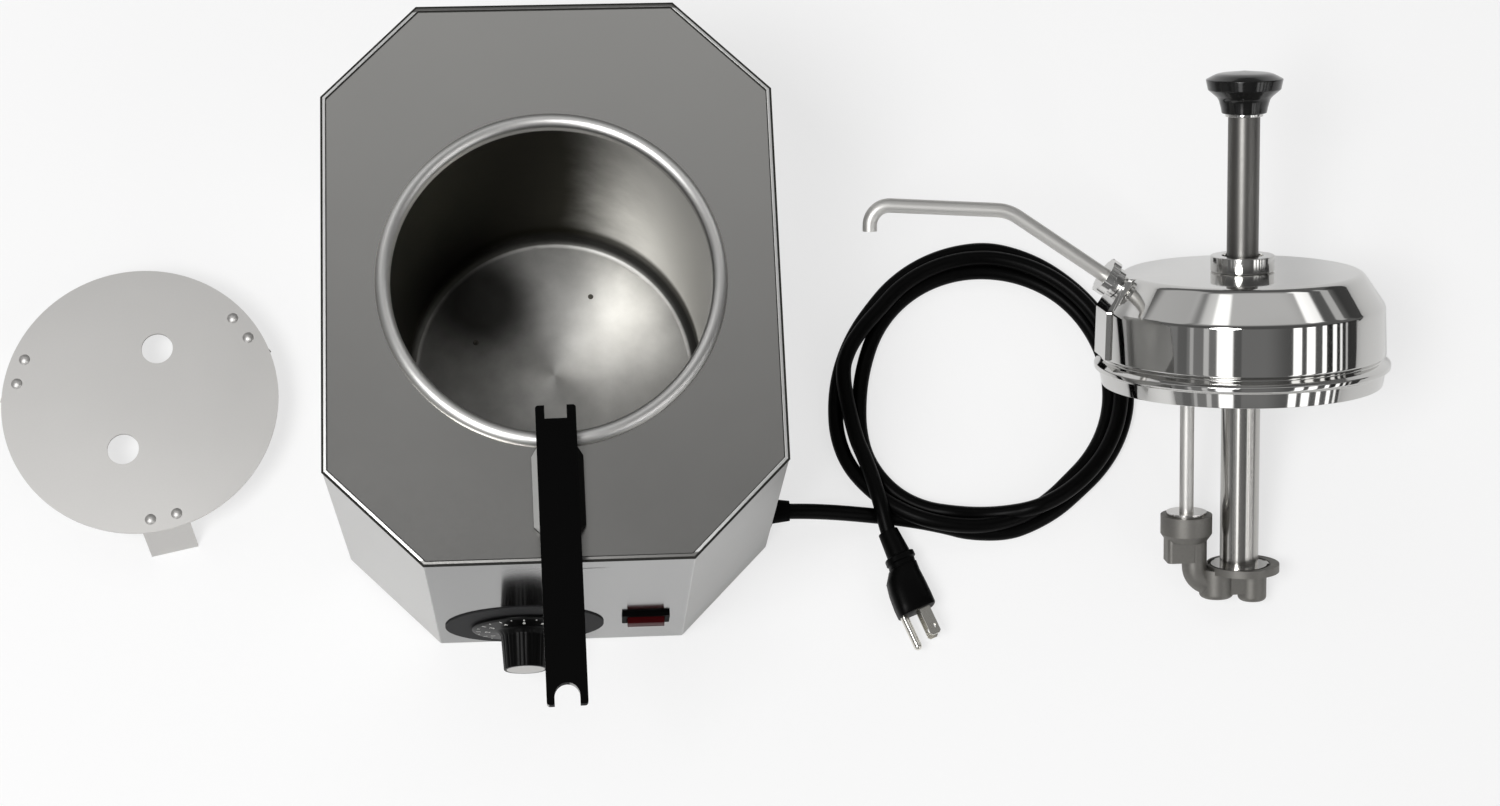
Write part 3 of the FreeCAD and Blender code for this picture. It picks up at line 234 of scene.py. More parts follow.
def makeFloor():
    half = stage["size"] / 2
    mesh = bpy.data.meshes.new("studioFloor")
    corners = [(-half, -half, 0), (half, -half, 0), (half, half, 0), (-half, half, 0)]
    mesh.from_pydata(corners, [], [(0, 1, 2, 3)])
    floor = bpy.data.objects.new("studioFloor", mesh)
    floor.location.z = -stage["drop"] * mm
    scene.collection.objects.link(floor)
    material = bpy.data.materials.new("paleFloor")
    material.use_nodes = True
    paint = Recipe(material.node_tree)
    matte = paint.node("ShaderNodeBsdfDiffuse", {}, stage["shade"])
    glow = paint.node("ShaderNodeEmission", {}, (1, 1, 1), 1.0)
    ray = paint.node("ShaderNodeLightPath", {}).socket.node.outputs
    seen, glossy, through = (Wire(paint, ray[name]) for name in
                             ("Is Camera Ray", "Is Glossy Ray", "Is Transmission Ray"))
    share = seen * stage["seen"] + (glossy + through) * stage["mirrored"]
    paint.node("ShaderNodeOutputMaterial", {}, paint.node("ShaderNodeMixShader", {}, share, matte, glow))
    mesh.materials.append(material)


def makeLamps():
    for name, (place, aim, width, height, strength) in light["lamps"].items():
        lamp = bpy.data.lights.new(name, "AREA")
        lamp.shape = "RECTANGLE"
        lamp.size, lamp.size_y = width, height
        lamp.energy = strength * math.pi * width * height
        holder = bpy.data.objects.new(name, lamp)
        holder.location = place
        holder.rotation_mode = "QUATERNION"
        holder.rotation_quaternion = (Vector(aim) - Vector(place)).to_track_quat("-Z", "Y")
        scene.collection.objects.link(holder)


makeWorld()
makeFloor()
makeLamps()
print("stage and light ready")


# Shapes: outlines are in millimetres, (across, up) or (across, up, round)

shaping = {"roundShare": 0.45, "onAxis": 0.001}


def circle(count):
    return [(math.cos(tau * spoke / count), math.sin(tau * spoke / count)) for spoke in range(count)]


def softened(outline, steps):
    done = []
    for spot, (x, y, *rounding) in enumerate(outline):
        here = Vector((x, y))
        if not rounding:
            done.append(here)
            continue
        back = Vector(outline[spot - 1][:2]) - here
        onward = Vector(outline[(spot + 1) % len(outline)][:2]) - here
        longest = shaping["roundShare"] * min(back.length, onward.length)
        reach = min(rounding[0] / math.tan(back.angle(onward) / 2), longest)
        start, end = here + back.normalized() * reach, here + onward.normalized() * reach
        for step in range(steps + 1):
            share = step / steps
            done.append(start.lerp(here, share).lerp(here.lerp(end, share), share))
    return done


def skin(rings, closed=True, capped=False):
    form = bmesh.new()
    corners = [[form.verts.new(Vector(point) * mm) for point in ring] for ring in rings]
    pairs = zip(corners, corners[1:] + corners[:1]) if closed else zip(corners, corners[1:])
    for low, high in pairs:
        for spoke in range(max(len(low), len(high))):
            face = [low[spoke % len(low)], low[(spoke + 1) % len(low)],
                    high[(spoke + 1) % len(high)], high[spoke % len(high)]]
            face = list(dict.fromkeys(face))
            if len(face) > 2:
                form.faces.new(face)
    if capped:
        form.faces.new(corners[0])
        form.faces.new(corners[-1])
    bmesh.ops.recalc_face_normals(form, faces=form.faces)
    return form


def lathe(outline, spokes=128, steps=4):
    rings = []
    for reach, high in softened(outline, steps):
        onAxis = abs(reach) < shaping["onAxis"]
        rings.append([(0, 0, high)] if onAxis else [(reach * c, reach * s, high) for c, s in circle(spokes)])
    return skin(rings)


def piece(name, form, body, finish, replaced=(), stand=Matrix.Identity(4), crease=30):
    mesh = bpy.data.meshes.new(name)
    form.to_mesh(mesh)
    form.free()
    mesh.shade_smooth()
    mesh.set_sharp_from_angle(angle=math.radians(crease))
    mesh.materials.append(finish.material)
    made = bpy.data.objects.new(name, mesh)
    made.matrix_world = stand
    scene.collection.objects.link(made)
    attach(made, body)
    if replaced:
        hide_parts(*replaced)
    return made


def standAt(place, across, up):
    across, up = Vector(across).normalized(), Vector(up).normalized()
    turn = Matrix((across, up.cross(across), up)).transposed().to_4x4()
    return Matrix.Translation(place) @ turn


rimMount = mounts["can_rim_band"]
pumpUp = -Vector(rimMount["axis"])
pumpStand = standAt(rimMount["pos_m"], pumpUp.cross(Vector((0, 0, 1))), pumpUp)
print("shape tools ready")


# Finishes: the shades are linear; a noise is given by its scale and detail, a bump by strength and depth

steelLook = {"patches": (9, 4), "uneven": 0.25, "lineDetail": 2, "bump": (0.05, 0.02)}
plasticLook = {"patches": (14, 4), "paler": 1.25, "lift": 0.001, "rough": (0.85, 0.3), "pebbles": (1800, 2),
               "bump": (0.08, 0.03)}
turnedLook = {"patches": (22, 4), "darker": 0.95, "paler": 1.04, "rough": (0.85, 0.3, 0.2),
              "grooves": (2400, 2), "bump": (0.05, 0.015), "grain": 0.25}


def steel(name, shade, rough, cloud=0.05, scratches=0.25, size=900):
    paint = Finish(name, Metallic=1.0)
    spot = paint.place()
    patch = paint.noise(spot, *steelLook["patches"])
    lines = paint.noise(spot, size, steelLook["lineDetail"])
    paint.set(Base_Color=paint.blend(patch, [tone * (1 - cloud) for tone in shade],
                                     [min(1, tone * (1 + cloud)) for tone in shade]),
              Roughness=rough * (1 + steelLook["uneven"] * (patch - 0.5) + scratches * (lines - 0.5)),
              Normal=paint.bump(lines, *steelLook["bump"]))
    return paint


def plastic(name, shade, rough, **fixed):
    paint = Finish(name, **fixed)
    spot = paint.place()
    patch = paint.noise(spot, *plasticLook["patches"])
    pebble = paint.noise(spot, *plasticLook["pebbles"])
    pale = [tone * plasticLook["paler"] + plasticLook["lift"] for tone in shade]
    plain, uneven = plasticLook["rough"]
    paint.set(Base_Color=paint.blend(patch, shade, pale), Roughness=rough * (plain + uneven * patch),
              Normal=paint.bump(pebble, *plasticLook["bump"]))
    return paint


def turned(name, shade, rough, pull):
    paint = Finish(name, Metallic=1.0, Anisotropic=pull, Anisotropic_Rotation=turnedLook["grain"])
    spot = paint.place()
    x, y, z = paint.split(spot)
    reach = (x ** 2 + y ** 2) ** 0.5
    patch = paint.noise(spot, *turnedLook["patches"])
    groove = paint.noise(paint.join(reach, z, 0.0), *turnedLook["grooves"])
    dark = [tone * turnedLook["darker"] for tone in shade]
    pale = [min(1, tone * turnedLook["paler"]) for tone in shade]
    plain, grooved, uneven = turnedLook["rough"]
    paint.set(Base_Color=paint.blend(patch, dark, pale),
              Roughness=rough * (plain + grooved * groove + uneven * (patch - 0.5)),
              Normal=paint.bump(groove, *turnedLook["bump"]))
    return paint


wrap = {"shade": (0.58, 0.577, 0.567), "rough": 0.4,
        # the front face, by its normal, and its two ends in mm: painted shade, darker than the sides and
        # darker towards the left
        "front": (-0.98, -0.85), "ends": (-70, 75), "left": (0.18, 0.18, 0.178),
        "right": (0.33, 0.33, 0.328), "gloss": 0.7,
        # the cut corner right of it, by its normal, darkened with painted shade
        "cornerX": (0.5, 0.65, 0.8, 0.95), "cornerY": (-0.5, -0.3), "corner": (0.43, 0.428, 0.42)}


def wrapPaint():
    paint = steel("wrapSteel", wrap["shade"], wrap["rough"])
    brushed, rough = paint.fed("Base Color"), paint.fed("Roughness")
    nx, ny = paint.split(paint.place("Normal"))[:2]
    # painted shade: the front face and the right cut corner get darker colours than the wrap's steel, the
    # front darker towards its left end
    front = ny.fall(*wrap["front"])
    corner = nx.band(*wrap["cornerX"]) * ny.fall(*wrap["cornerY"])
    across = paint.split(paint.place())[0]
    face = paint.blend(across.rise(*[end * mm for end in wrap["ends"]]), wrap["left"], wrap["right"])
    side = paint.blend(corner, brushed, wrap["corner"])
    paint.set(Base_Color=paint.blend(front, side, face), Roughness=rough * (1 - wrap["gloss"] * front))
    return paint


hemLook = {"shade": (0.82, 0.82, 0.81), "rough": 0.5,
           # the hem's shade is a painted highlight, paler than the wrap's steel; the front and back runs get
           # painted shade: from where, as the square of the share of the depth
           "runs": (0.955, 0.965), "paintedShade": (0.22, 0.217, 0.21)}


def hemPaint():
    paint = steel("hemSteel", hemLook["shade"], hemLook["rough"])
    bright = paint.fed("Base Color")
    back = paint.split(paint.place())[1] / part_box("housing_wrap")[1].y
    # painted highlight along the cut corners' hem, painted shade on the front and back runs
    paint.set(Base_Color=paint.blend((back ** 2).rise(*hemLook["runs"]), bright, hemLook["paintedShade"]))
    return paint


wing = {"rough": 0.55, "sheen": 0.03, "black": (0.001, 0.001, 0.001),
        # a painted highlight on the slope: how far its normal leans to the left
        "slope": (0.15, 0.3, 0.985, 0.995), "paintedHighlight": (0.45, 0.45, 0.44)}


def wingPaint():
    paint = Finish("wrenchBlack", Roughness=wing["rough"], Specular_IOR_Level=wing["sheen"])
    slope = -1 * paint.split(paint.place("Normal"))[0]
    # painted highlight: faces leaning to the left are painted pale on the black
    paint.set(Base_Color=paint.blend(slope.band(*wing["slope"]), wing["black"], wing["paintedHighlight"]))
    return paint


# The well's colour is painted light and shade, running from near black to near white over its wall and floor.
well = {"bright": (0.98, 0.97, 0.94), "dark": (0.008, 0.0075, 0.005), "bead": (0.72, 0.715, 0.70),
        "tint": (0.62, 0.61, 0.57), "pull": 0.45, "grain": 0.25, "clouds": (30, 5),
        "rough": 0.46, "roughSpread": (0.9, 0.2), "beadPolish": 0.08, "rings": (2.4, 3), "bump": (0.05, 0.02),
        # painted light on the wall, brighter to the right, and painted shade to the left: share of across and
        # of back, clouds, from where to where
        "wallWay": (0.99, 0.02), "wallClouds": 22, "wallRise": (3, 60), "wallShare": (0.02, 0.98),
        # the floor with a patch of painted light and a patch of painted shade: across, back, inner reach,
        # outer reach
        "floor": 0.42, "floorClouds": 0.5, "paintedLightGain": 0.24, "paintedLightPatch": (40, 20, 8, 60),
        "paintedShadeDepth": 0.85, "paintedShade": (-42, 46, 14, 42),
        # heights: where the wall takes over, the painted shadow band at its foot; below the top, the bead
        "wallFrom": (25.0, 39.0), "foot": (23.05, 23.6, 38, 48), "footShade": 0.85, "beadFrom": (9, 7)}


def wellPaint():
    paint = Finish("wellSteel", Metallic=1.0, Anisotropic=well["pull"], Anisotropic_Rotation=well["grain"],
                   Specular_Tint=well["tint"])
    low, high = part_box("well_pot")
    x, y, z = paint.split(paint.place())
    across, back = (x - (low.x + high.x) / 2) / mm, (y - (low.y + high.y) / 2) / mm
    height = z / mm

    def patch(left, deep, inner, outer):
        return (((across - left) ** 2 + (back - deep) ** 2) ** 0.5).fall(inner, outer)

    # painted light and shade: the masks below set how far the colour runs from the dark to the bright shade
    cloud = paint.noise(paint.place(), *well["clouds"]) - 0.5
    acrossWay, backWay = well["wallWay"]
    wall = (across * acrossWay - back * backWay + well["wallClouds"] * cloud).rise(*well["wallRise"])
    floor = well["floor"] + well["paintedLightGain"] * patch(*well["paintedLightPatch"]) + well["floorClouds"] * cloud
    floor = floor * (1 - well["paintedShadeDepth"] * patch(*well["paintedShade"]))
    above = height.rise(*well["wallFrom"])
    least, rest = well["wallShare"]
    share = floor * (1 - above) + (least + rest * wall) * above
    share = share * (1 - well["footShade"] * height.band(*well["foot"]))
    bead = z.rise(*[high.z - depth * mm for depth in well["beadFrom"]])
    ring = paint.noise(paint.join((across ** 2 + back ** 2) ** 0.5, height, 0.0), *well["rings"])
    plain, uneven = well["roughSpread"]
    paint.set(Base_Color=paint.blend(bead, paint.blend(share, well["dark"], well["bright"]), well["bead"]),
              Roughness=well["rough"] * (plain + uneven * ring) - well["beadPolish"] * bead,
              Normal=paint.bump(ring, *well["bump"]))
    return paint


finishes = {
    "satin_steel": steel("satinSteel", (0.58, 0.577, 0.567), 0.4),
    "polished_steel": steel("polishedSteel", (0.74, 0.735, 0.72), 0.16),
    "well_steel": wellPaint(),
    "tube_steel": steel("tubeSteel", (0.68, 0.67, 0.65), 0.2),
    "fasteners": steel("fastenerSteel", (0.6, 0.6, 0.6), 0.3),
    "plate_aluminium": steel("plateMetal", (0.62, 0.61, 0.595), 0.5),
    "cast_metal": steel("castMetal", (0.235, 0.228, 0.213), 0.55, 0.2, 0.4, size=600),
    "black_plastic": plastic("blackPlastic", (0.001, 0.001, 0.001), 0.55, Specular_IOR_Level=0.03),
    "red_plastic": plastic("redPlastic", (0.045, 0.001, 0.002), 0.3, Specular_IOR_Level=0.05),
    "white_plastic": plastic("whitePlastic", (0.82, 0.82, 0.79), 0.5),
    "dial_grey": plastic("dialGrey", (0.03, 0.03, 0.031), 0.6, Specular_IOR_Level=0.03),
    "case_grey": steel("zincCase", (0.55, 0.55, 0.55), 0.45),
    "element_sheath": steel("elementSheath", (0.3, 0.27, 0.24), 0.5),
    "copper": steel("copperTube", (0.72, 0.43, 0.29), 0.3),
    "brass": steel("bladeNickel", (0.80, 0.78, 0.72), 0.22),
    "lagging": plastic("laggingFibre", (0.8, 0.78, 0.7), 0.9),
    "wire_cover": plastic("wireSleeve", (0.08, 0.08, 0.08), 0.5),
    "cord_rubber": plastic("cordRubber", (0.001, 0.001, 0.001), 0.36, Specular_IOR_Level=0.06),
    "seal_rubber": plastic("sealRubber", (0.05, 0.05, 0.05), 0.6),
}
lidFinish = turned("brushedLid", (0.64, 0.635, 0.62), 0.06, 0.5)
turnedFinish = turned("turnedSteel", (0.62, 0.615, 0.6), 0.13, 0.5)
tubeFinish = turned("brushedTube", (0.5, 0.49, 0.47), 0.22, 0.5)
plungerFinish = turned("plungerSteel", (0.18, 0.176, 0.168), 0.42, 0.2)
glossFinish = plastic("glossBlack", (0.003, 0.003, 0.003), 0.16, Coat_Weight=0.3, Specular_IOR_Level=0.4)
knobFinish = plastic("knobBlack", (0.001, 0.001, 0.001), 0.36, Specular_IOR_Level=0.1)
wrapFinish = wrapPaint()
hemFinish = hemPaint()
# a dark strip for the seam gap between wrap and deck, and painted shadow lines on both sides of the hem
seamShadowFinish = plastic("seamShade", (0.02, 0.02, 0.018), 0.6, Specular_IOR_Level=0.1)
weldFinish = steel("weldMark", (0.10, 0.095, 0.08), 0.5)
deckFinish = steel("deckSteel", (0.46, 0.455, 0.44), 0.23)
wingFinish = wingPaint()
spoutFinish = steel("spoutSteel", (0.68, 0.67, 0.65), 0.5)
ownFinish = {"top_deck": deckFinish, "housing_wrap": wrapFinish, "discharge_tube": spoutFinish,
             "pump_wrench": wingFinish}


def dressNodes():
    for part in frame["record"]["subparts"]:
        node = nodes[part["node"]]
        node.data.materials.clear()
        node.data.materials.append(ownFinish.get(part["node"], finishes[part["material_slot"]]).material)


dressNodes()
print("finishes ready")


# The pump's lid, a pressed sheet with a flat boss where the spout comes out

lid = {"skin": [(11.2, 55.0), (67.8, 55.0, 6), (80.5, 36.0, 6), (81.5, 8.3, 1.6), (79.0, 6.2, 0.8),
                (84.1, 3.0, 1.0), (84.1, 0.4, 1.0), (81.2, -1.0, 0.5), (79.8, -9.3, 0.35)],
       "lining": [(79.0, -9.3, 0.35), (80.4, -1.2, 0.5), (83.3, 0.7, 0.8), (83.3, 2.6, 0.8), (78.2, 6.0, 0.8),
                  (80.7, 8.6, 1.2), (79.7, 35.8, 5.4), (67.4, 54.2, 5.2), (11.2, 54.2)],
       "spokes": 448, "steps": 6, "crease": 24,
       "bossHalf": 15.0, "bossRise": 1.0, "bossFoot": 8.6, "bossReach": 60, "bossSide": -30}


def makeLid():
    form = lathe(lid["skin"] + lid["lining"], lid["spokes"], lid["steps"])
    for point in form.verts:
        x, y, z = point.co / mm
        reach = math.hypot(x, y)
        onBoss = x < lid["bossSide"] and abs(y) <= lid["bossHalf"]
        if onBoss and z >= lid["bossFoot"] and reach > lid["bossReach"]:
            point.co.x = -(reach + lid["bossRise"]) * mm
    piece("pumpLid", form, "pump", lidFinish, ["pump_lid"], pumpStand, lid["crease"])


# What stands on the lid and in it, all turned round the pump's axis

collar = {"body": "pump", "finish": turnedFinish, "slot": "polished_steel", "node": "lock_collar",
          "outline": [(9.1, 60.0), (11.1, 60.0), (11.1, 55.05), (17.5, 55.05), (18.1, 55.8, 0.3),
                      (18.1, 64.3, 0.5), (11.7, 64.3, 0.4), (11.7, 62.5), (9.1, 62.5)]}
plunger = {"body": "plunger", "finish": plungerFinish, "slot": "tube_steel", "node": "plunger_tube",
           "outline": [(8.1, -5.9), (9.0, -5.9, 0.3), (9.0, 143.4, 0.3), (8.1, 143.4)], "spokes": 96}
washer = {"body": "plunger", "finish": turnedFinish, "slot": "fasteners", "node": "knob_washer",
          "outline": [(0, 143.4), (10.6, 143.4, 0.4), (10.6, 145.2, 0.4), (0, 145.2)], "spokes": 96}
cylinder = {"body": "pump", "finish": tubeFinish, "slot": "tube_steel", "node": "cylinder_tube",
            "outline": [(10.0, -119.0), (11.1, -119.0, 0.3), (11.1, 52.55), (15.0, 52.6, 0.3),
                        (15.0, 54.15, 0.3), (11.1, 54.2), (11.1, 60.0), (10.0, 60.0)], "spokes": 96}
pushKnob = {"body": "plunger", "finish": glossFinish, "slot": "black_plastic", "node": "push_knob",
            "outline": [(0, 145.2), (12.6, 145.2, 0.8), (13.2, 148.4, 3), (14.6, 153.6, 6),
                        (20.5, 158.6, 1.2), (21.7, 164.4, 0.7), (15.5, 167.7, 14), (0, 169.2)],
            "steps": 8, "crease": 35}


def makePumpTop():
    turnedPieces = {"lockCollar": collar, "plungerTube": plunger, "knobWasher": washer,
                    "pumpCylinder": cylinder, "pushKnob": pushKnob}
    for name, made in turnedPieces.items():
        form = lathe(made["outline"], made.get("spokes", 128), made.get("steps", 4))
        piece(name, form, made["body"], made["finish"], [made["node"]], pumpStand,
              made.get("crease", 30))


spring = {"wire": 0.9, "reach": 7.2, "turns": 11, "foot": -117.8, "head": -19.2, "steps": 24, "sides": 10,
          "pressed": 80.0}


def makeSpring():
    rings = []
    count = spring["turns"] * spring["steps"]
    rise = (spring["head"] - spring["foot"]) / count
    for step in range(count + 1):
        angle = tau * step / spring["steps"]
        out = Vector((math.cos(angle), math.sin(angle), 0))
        middle = out * spring["reach"] + Vector((0, 0, spring["foot"] + rise * step))
        rings.append([middle + (out * c + Vector((0, 0, s))) * spring["wire"]
                      for c, s in circle(spring["sides"])])
    coil = piece("returnSpring", skin(rings, False, True), "pump", finishes["fasteners"],
                 ["pump_spring"], pumpStand)
    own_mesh(coil)


# The plug at the cord's end

plug = {"place": (190.8, -98.9, 11.2), "heading": -68.5, "sides": 64, "crease": 40,
        # along, half width, half height, sideways shift, corner power
        "stations": [(0, 5.5, 5.5, 0.9, 2), (0.4, 6.0, 6.0, 0.9, 2), (14.0, 7.0, 7.0, 0.9, 2),
                     (15.6, 7.0, 7.0, 0.8, 2.2), (15.9, 8.5, 8.1, 0.7, 2.6), (16.3, 8.8, 8.5, 0.7, 2.8),
                     (19.2, 8.9, 8.7, 0.6, 2.8), (19.6, 8.5, 8.3, 0.5, 2.8), (19.9, 8.0, 7.8, 0.4, 2.8),
                     (22.6, 8.1, 7.9, -0.1, 2.8), (22.9, 8.8, 8.5, -0.3, 2.8), (24.0, 9.1, 8.9, -0.7, 2.8),
                     (28.5, 10.5, 9.8, -2.5, 3), (36.0, 11.3, 10.3, -3.1, 3.2),
                     (44.0, 11.6, 10.3, -3.4, 3.4), (49.4, 11.4, 10.1, -3.5, 3.8),
                     (50.1, 11.0, 9.7, -3.5, 3.8), (50.3, 10.4, 9.0, -3.5, 3.8)]}
blade = {"root": 44.5, "end": 67.3, "gap": 12.7, "width": 6.3, "sheet": 1.5, "chamfer": 1.2,
         "holeAt": 62.4, "holeReach": 1.6, "holeSides": 24}


def makePlug():
    heading = Matrix.Rotation(math.radians(plug["heading"]), 4, "Z")
    stand = Matrix.Translation(Vector(plug["place"]) * mm) @ heading
    rings = []
    for along, wide, high, shift, power in plug["stations"]:
        rings.append([(along, shift + wide * math.copysign(abs(c) ** (2 / power), c),
                       high * math.copysign(abs(s) ** (2 / power), s)) for c, s in circle(plug["sides"])])
    body = piece("plugBody", skin(rings, False, True), "warmer", finishes["cord_rubber"],
                 ["plug_body"], stand, plug["crease"])
    return body, makeBlades(stand)


def makeBlades(stand):
    blades = []
    root, tip, half, chamfer = blade["root"], blade["end"], blade["width"] / 2, blade["chamfer"]
    plan = [(root, -half), (tip - chamfer, -half), (tip, chamfer - half), (tip, half - chamfer),
            (tip - chamfer, half), (root, half)]
    hole = [(blade["holeAt"] + blade["holeReach"] * c, -blade["holeReach"] * s)
            for c, s in circle(blade["holeSides"])]
    for number, side in enumerate((-1, 1)):
        form = bmesh.new()
        centre, sheet = side * blade["gap"] / 2, blade["sheet"] / 2
        faces = []
        for level in (centre - sheet, centre + sheet):
            loops = [[form.verts.new(Vector((x, y, level)) * mm) for x, y in loop] for loop in (plan, hole)]
            edges = [form.edges.new((loop[k], loop[(k + 1) % len(loop)])) for loop in loops
                     for k in range(len(loop))]
            bmesh.ops.triangle_fill(form, edges=edges, use_beauty=True)
            faces.append(loops)
        for below, above in zip(*faces):
            for k in range(len(below)):
                onward = (k + 1) % len(below)
                form.faces.new((below[k], below[onward], above[onward], above[k]))
        bmesh.ops.recalc_face_normals(form, faces=form.faces)
        blades.append(piece(f"plugBlade{number + 1}", form, "warmer", finishes["brass"],
                            ["plug_blades"] if number else (), stand))
    return blades


# Thermostat knob: a skirt with white ticks and numbers, and a fluted, tapered grip

knob = {"place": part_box("thermostat_knob"), "spokes": 160, "crease": 35,
        "outline": [(3.0, 5.0), (9.5, 5.0), (9.5, 1.5), (28.6, 1.5, 0.4), (29.5, 1.9, 0.3), (29.5, 2.7, 0.5),
                    (27.5, 3.4, 1.5), (15.2, 4.4, 3.0), (13.4, 7.5, 2.0), (12.2, 26.0, 0.7),
                    (10.7, 26.0, 0.2), (10.6, 25.2), (3.0, 25.2)],
        # the flutes: how many and how deep, from where outwards, between which heights, and their fades
        "flutes": 24, "fluteDepth": 0.35, "fluteReach": 10.4, "fluteFoot": 4.5, "fluteHead": 26.1,
        "footFade": 4, "headFade": 1.2,
        # the skirt's top: height at its rim, and how it climbs inwards
        "rimReach": 27.5, "rimHeight": 3.4, "climb": 12.3}
dial = {"ticks": 20, "sweep": 300, "tickIn": 24.6, "tickOut": 27.2, "tickShorter": 1.4, "tickWide": 0.7,
        "tickLift": 0.06, "size": 4.2, "numberReach": 20.6, "numberLift": 0.08, "thick": 0.04, "tilt": -4.6}


def skirtHeight(reach):
    return knob["rimHeight"] + (knob["rimReach"] - reach) / knob["climb"]


def dialAngle(step):
    return math.radians(90 + dial["sweep"] / 2 - dial["sweep"] * step / dial["ticks"])


def makeKnob():
    low, high = knob["place"]
    middle = Vector(((low.x + high.x) / 2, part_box("housing_wrap")[0].y, (low.z + high.z) / 2))
    stand = standAt(middle, (1, 0, 0), (0, -1, 0))
    form = lathe(knob["outline"], knob["spokes"])
    for point in form.verts:
        x, y, z = point.co / mm
        reach = math.hypot(x, y)
        if knob["fluteFoot"] < z < knob["fluteHead"] and reach > knob["fluteReach"]:
            dip = knob["fluteDepth"] * max(0.0, math.cos(knob["flutes"] * math.atan2(y, x))) ** 2
            dip *= min(1, (z - knob["fluteFoot"]) / knob["footFade"])
            dip *= min(1, (knob["fluteHead"] - z) / knob["headFade"])
            point.co.x -= dip * x / reach * mm
            point.co.y -= dip * y / reach * mm
    piece("thermostatKnob", form, "knob", knobFinish, ["thermostat_knob"], stand,
          knob["crease"])
    makeTicks(stand)
    for number in range(1, dial["ticks"] // 2 + 1):
        makeNumber(number, stand)


def makeTicks(stand):
    marks = bmesh.new()
    for step in range(dial["ticks"] + 1):
        angle = dialAngle(step)
        inside = dial["tickIn"] + (dial["tickShorter"] if step % 2 else 0)
        along = Vector((math.cos(angle), math.sin(angle), 0))
        side = Vector((-math.sin(angle), math.cos(angle), 0)) * dial["tickWide"] / 2
        corners = []
        for reach, edge in ((inside, -1), (dial["tickOut"], -1), (dial["tickOut"], 1), (inside, 1)):
            lift = Vector((0, 0, skirtHeight(reach) + dial["tickLift"]))
            corners.append(marks.verts.new((along * reach + side * edge + lift) * mm))
        marks.faces.new(corners)
    piece("dialTicks", marks, "knob", finishes["white_plastic"], (), stand)


def makeNumber(number, stand):
    text = bpy.data.curves.new(f"dialNumber{number}", "FONT")
    text.body = str(number)
    text.size = dial["size"] * mm
    text.align_x = "CENTER"
    text.align_y = "CENTER"
    text.extrude = dial["thick"] * mm
    text.materials.append(finishes["white_plastic"].material)
    figure = bpy.data.objects.new(f"dialNumber{number}", text)
    angle, reach = dialAngle(2 * number), dial["numberReach"]
    height = skirtHeight(reach) + dial["numberLift"]
    spot = Vector((reach * math.cos(angle), reach * math.sin(angle), height)) * mm
    figure.matrix_world = (stand @ Matrix.Translation(spot) @ Matrix.Rotation(angle - tau / 4, 4, "Z")
                           @ Matrix.Rotation(math.radians(dial["tilt"]), 4, "X"))
    scene.collection.objects.link(figure)
    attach(figure, "knob")


# The wrap's hemmed top edge with a dark strip under it, for the seam gap and a painted shadow line on each
# side of the hem: outlines go outwards from its face, up from its edge

hem = {"cut": 51.2, "crease": 20,
       "strip": [(-0.75, -0.5), (-0.75, -0.02), (-0.95, 0.2), (-2.1, 0.5), (-2.3, 0.44), (-2.3, -0.5)],
       "seam": [(0.3, -0.9), (0.3, -0.15), (0.05, 0.05), (-2.6, 0.14), (-2.75, 0.05), (-2.75, -0.9)]}


def makeHem():
    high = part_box("housing_wrap")[1]
    wide, deep, cut = high.x / mm, high.y / mm, hem["cut"]
    rear = [(wide, deep - cut), (wide - cut, deep), (cut - wide, deep), (-wide, deep - cut)]
    corners = [Vector(corner) for corner in rear + [(-x, -y) for x, y in rear]]
    mitres = []
    for spot, here in enumerate(corners):
        back, onward = here - corners[spot - 1], corners[(spot + 1) % len(corners)] - here
        sides = [Vector((way.y, -way.x)).normalized() for way in (back, onward)]
        mitres.append((sides[0] + sides[1]) / (1 + sides[0].dot(sides[1])))
    outward = 1 if mitres[0].dot(corners[0]) > 0 else -1
    for name, finish, slotName in (("strip", hemFinish, "satin_steel"), ("seam", seamShadowFinish, "seal_rubber")):
        rings = []
        for here, mitre in zip(corners, mitres):
            flat = [here + mitre * out * outward for out, up in hem[name]]
            rings.append([(spot.x, spot.y, high.z / mm + up) for spot, (out, up) in zip(flat, hem[name])])
        piece("wrap" + name.title(), skin(rings), "warmer", finish, (), Matrix.Identity(4),
              hem["crease"])


# The two weld marks on the well's floor

welds = {"spots": ((-45.5, 21.1), (22.5, 47.9)), "floor": 23.0, "spokes": 32,
         "outline": [(0, 0.02), (0.55, 0.05), (0.7, 0.35, 0.1), (1.25, 0.45, 0.2), (1.6, 0.02), (1.6, -0.3),
                     (0, -0.3)]}


def makeWelds():
    low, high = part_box("well_pot")
    for number, (x, y) in enumerate(welds["spots"]):
        spot = Vector(((low.x + high.x) / 2 + x * mm, (low.y + high.y) / 2 + y * mm, welds["floor"] * mm))
        piece(f"weldMark{number + 1}", lathe(welds["outline"], welds["spokes"]), "warmer", weldFinish,
              (), Matrix.Translation(spot))


# Eased edges on solids that keep their own form: widths in mm

eased = {"pump_wrench": 0.7, "switch_body": 0.5, "rocker_button": 0.5, "spout_nut": 0.3}
easing = {"weld": 0.002, "angle": 35, "steps": 2}


def easeEdges():
    for name, width in eased.items():
        mesh = nodes[name].data
        if "custom_normal" in mesh.attributes:
            mesh.attributes.remove(mesh.attributes["custom_normal"])
        mesh.shade_smooth()
        weld = nodes[name].modifiers.new("joinSeams", "WELD")
        weld.merge_threshold = easing["weld"] * mm
        ease = nodes[name].modifiers.new("easeEdges", "BEVEL")
        ease.width = width * mm
        ease.segments = easing["steps"]
        ease.limit_method = "ANGLE"
        ease.angle_limit = math.radians(easing["angle"])
        ease.harden_normals = True


# The mains cord: out of the housing, over to the coil, nearly three loose turns, then the plug

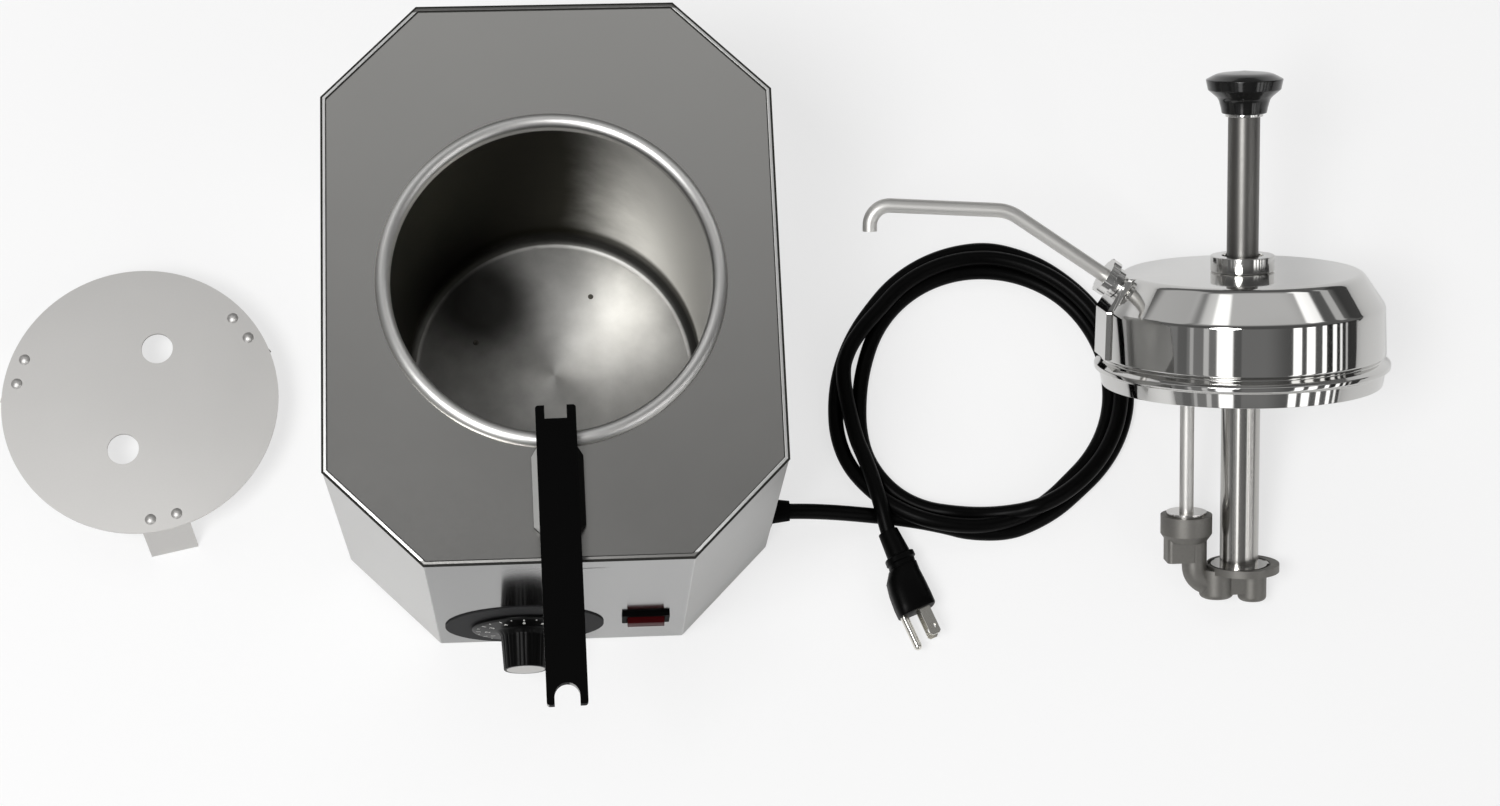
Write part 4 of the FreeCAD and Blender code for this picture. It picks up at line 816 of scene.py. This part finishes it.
cordMake = {"width": 9.0, "centre": (254.8, -12.0), "turnSteps": 32, "order": 3, "steps": 10, "sides": 8,
            # reach, height, heading, round and round from where the lead comes in
            "turns": ((90.5, 4.6, 264), (89.5, 4.6, 272), (86.0, 4.6, 288), (82.5, 4.6, 310), (87.0, 4.6, 352),
                      (86.0, 4.6, 407), (89.3, 4.6, 444), (82.4, 4.6, 503), (85.5, 4.6, 527), (89.6, 4.6, 545),
                      (94.5, 4.6, 562), (94.3, 4.6, 573), (93.5, 6.4, 579), (93.0, 10.0, 588),
                      (92.3, 13.6, 597), (88.5, 13.6, 612), (86.5, 13.0, 622), (83.5, 12.0, 634),
                      (80.5, 9.8, 646), (76.5, 8.8, 660), (74.5, 8.6, 670), (76.5, 4.8, 712), (77.0, 4.6, 767),
                      (75.0, 4.6, 804), (73.2, 4.6, 863), (72.3, 4.6, 888), (75.2, 4.6, 905), (80.5, 4.6, 922),
                      (84.0, 4.6, 932), (84.2, 4.6, 950), (82.5, 6.5, 962), (80.3, 9.9, 971), (78.0, 8.0, 982),
                      (77.5, 9.0, 992), (79.0, 14.0, 1000), (80.5, 18.4, 1007), (80.0, 16.5, 1030),
                      (82.0, 12.0, 1072), (81.5, 12.5, 1127), (82.0, 10.4, 1164), (77.8, 12.4, 1223),
                      (81.5, 13.6, 1235), (85.5, 13.6, 1247), (86.5, 13.3, 1265))}
leadRoute = [(114.0, -87.7, 24.0), (138.0, -87.5, 22.6), (160.0, -86.9, 14.6), (182.0, -87.6, 7.4),
             (205.0, -90.2, 4.9), (226.0, -94.9, 4.8), (240.0, -99.4, 4.8)]
tailRoute = [(175.5, -41.0, 13.2), (180.0, -53.0, 13.8), (184.5, -68.0, 14.8), (188.3, -84.0, 15.2),
             (192.3, -102.6, 11.6), (196.7, -113.8, 11.2)]


def coilRoute():
    x, y = cordMake["centre"]
    turns = cordMake["turns"]
    step = 360 / cordMake["turnSteps"]
    angle = turns[0][2] + step
    route = []
    while angle < turns[-1][2]:
        for (r1, z1, a1), (r2, z2, a2) in zip(turns, turns[1:]):
            if a1 <= angle < a2:
                share = (angle - a1) / (a2 - a1)
                reach, high = r1 + (r2 - r1) * share, z1 + (z2 - z1) * share
        heading = math.radians(angle)
        route.append((x + reach * math.cos(heading), y + reach * math.sin(heading), high))
        angle += step
    return route


def makeCord():
    route = leadRoute + coilRoute() + tailRoute
    curve = bpy.data.curves.new("mainsCord", "CURVE")
    curve.dimensions = "3D"
    spline = curve.splines.new("NURBS")
    spline.points.add(len(route) - 1)
    for point, place in zip(spline.points, route):
        point.co = (*(Vector(place) * mm), 1)
    spline.order_u = cordMake["order"]
    spline.use_endpoint_u = True
    spline.resolution_u = cordMake["steps"]
    curve.bevel_depth = cordMake["width"] / 2 * mm
    curve.bevel_resolution = cordMake["sides"]
    curve.use_fill_caps = True
    made = bpy.data.objects.new("mainsCord", curve)
    scene.collection.objects.link(made)
    length = sum((Vector(b) - Vector(a)).length for a, b in zip(route, route[1:])) * mm
    print("cord's corners add up to", round(length, 3))
    return made


flex = makeCord()
flex.data.materials.append(finishes["cord_rubber"].material)
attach(flex, "warmer")
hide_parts("cord_lead", "cord_coil", "cord_tail")
plugBody, plugBlades = makePlug()
print("cord ready")

makeLid()
makePumpTop()
makeSpring()
makeKnob()
makeHem()
makeWelds()
easeEdges()
print("pieces ready")
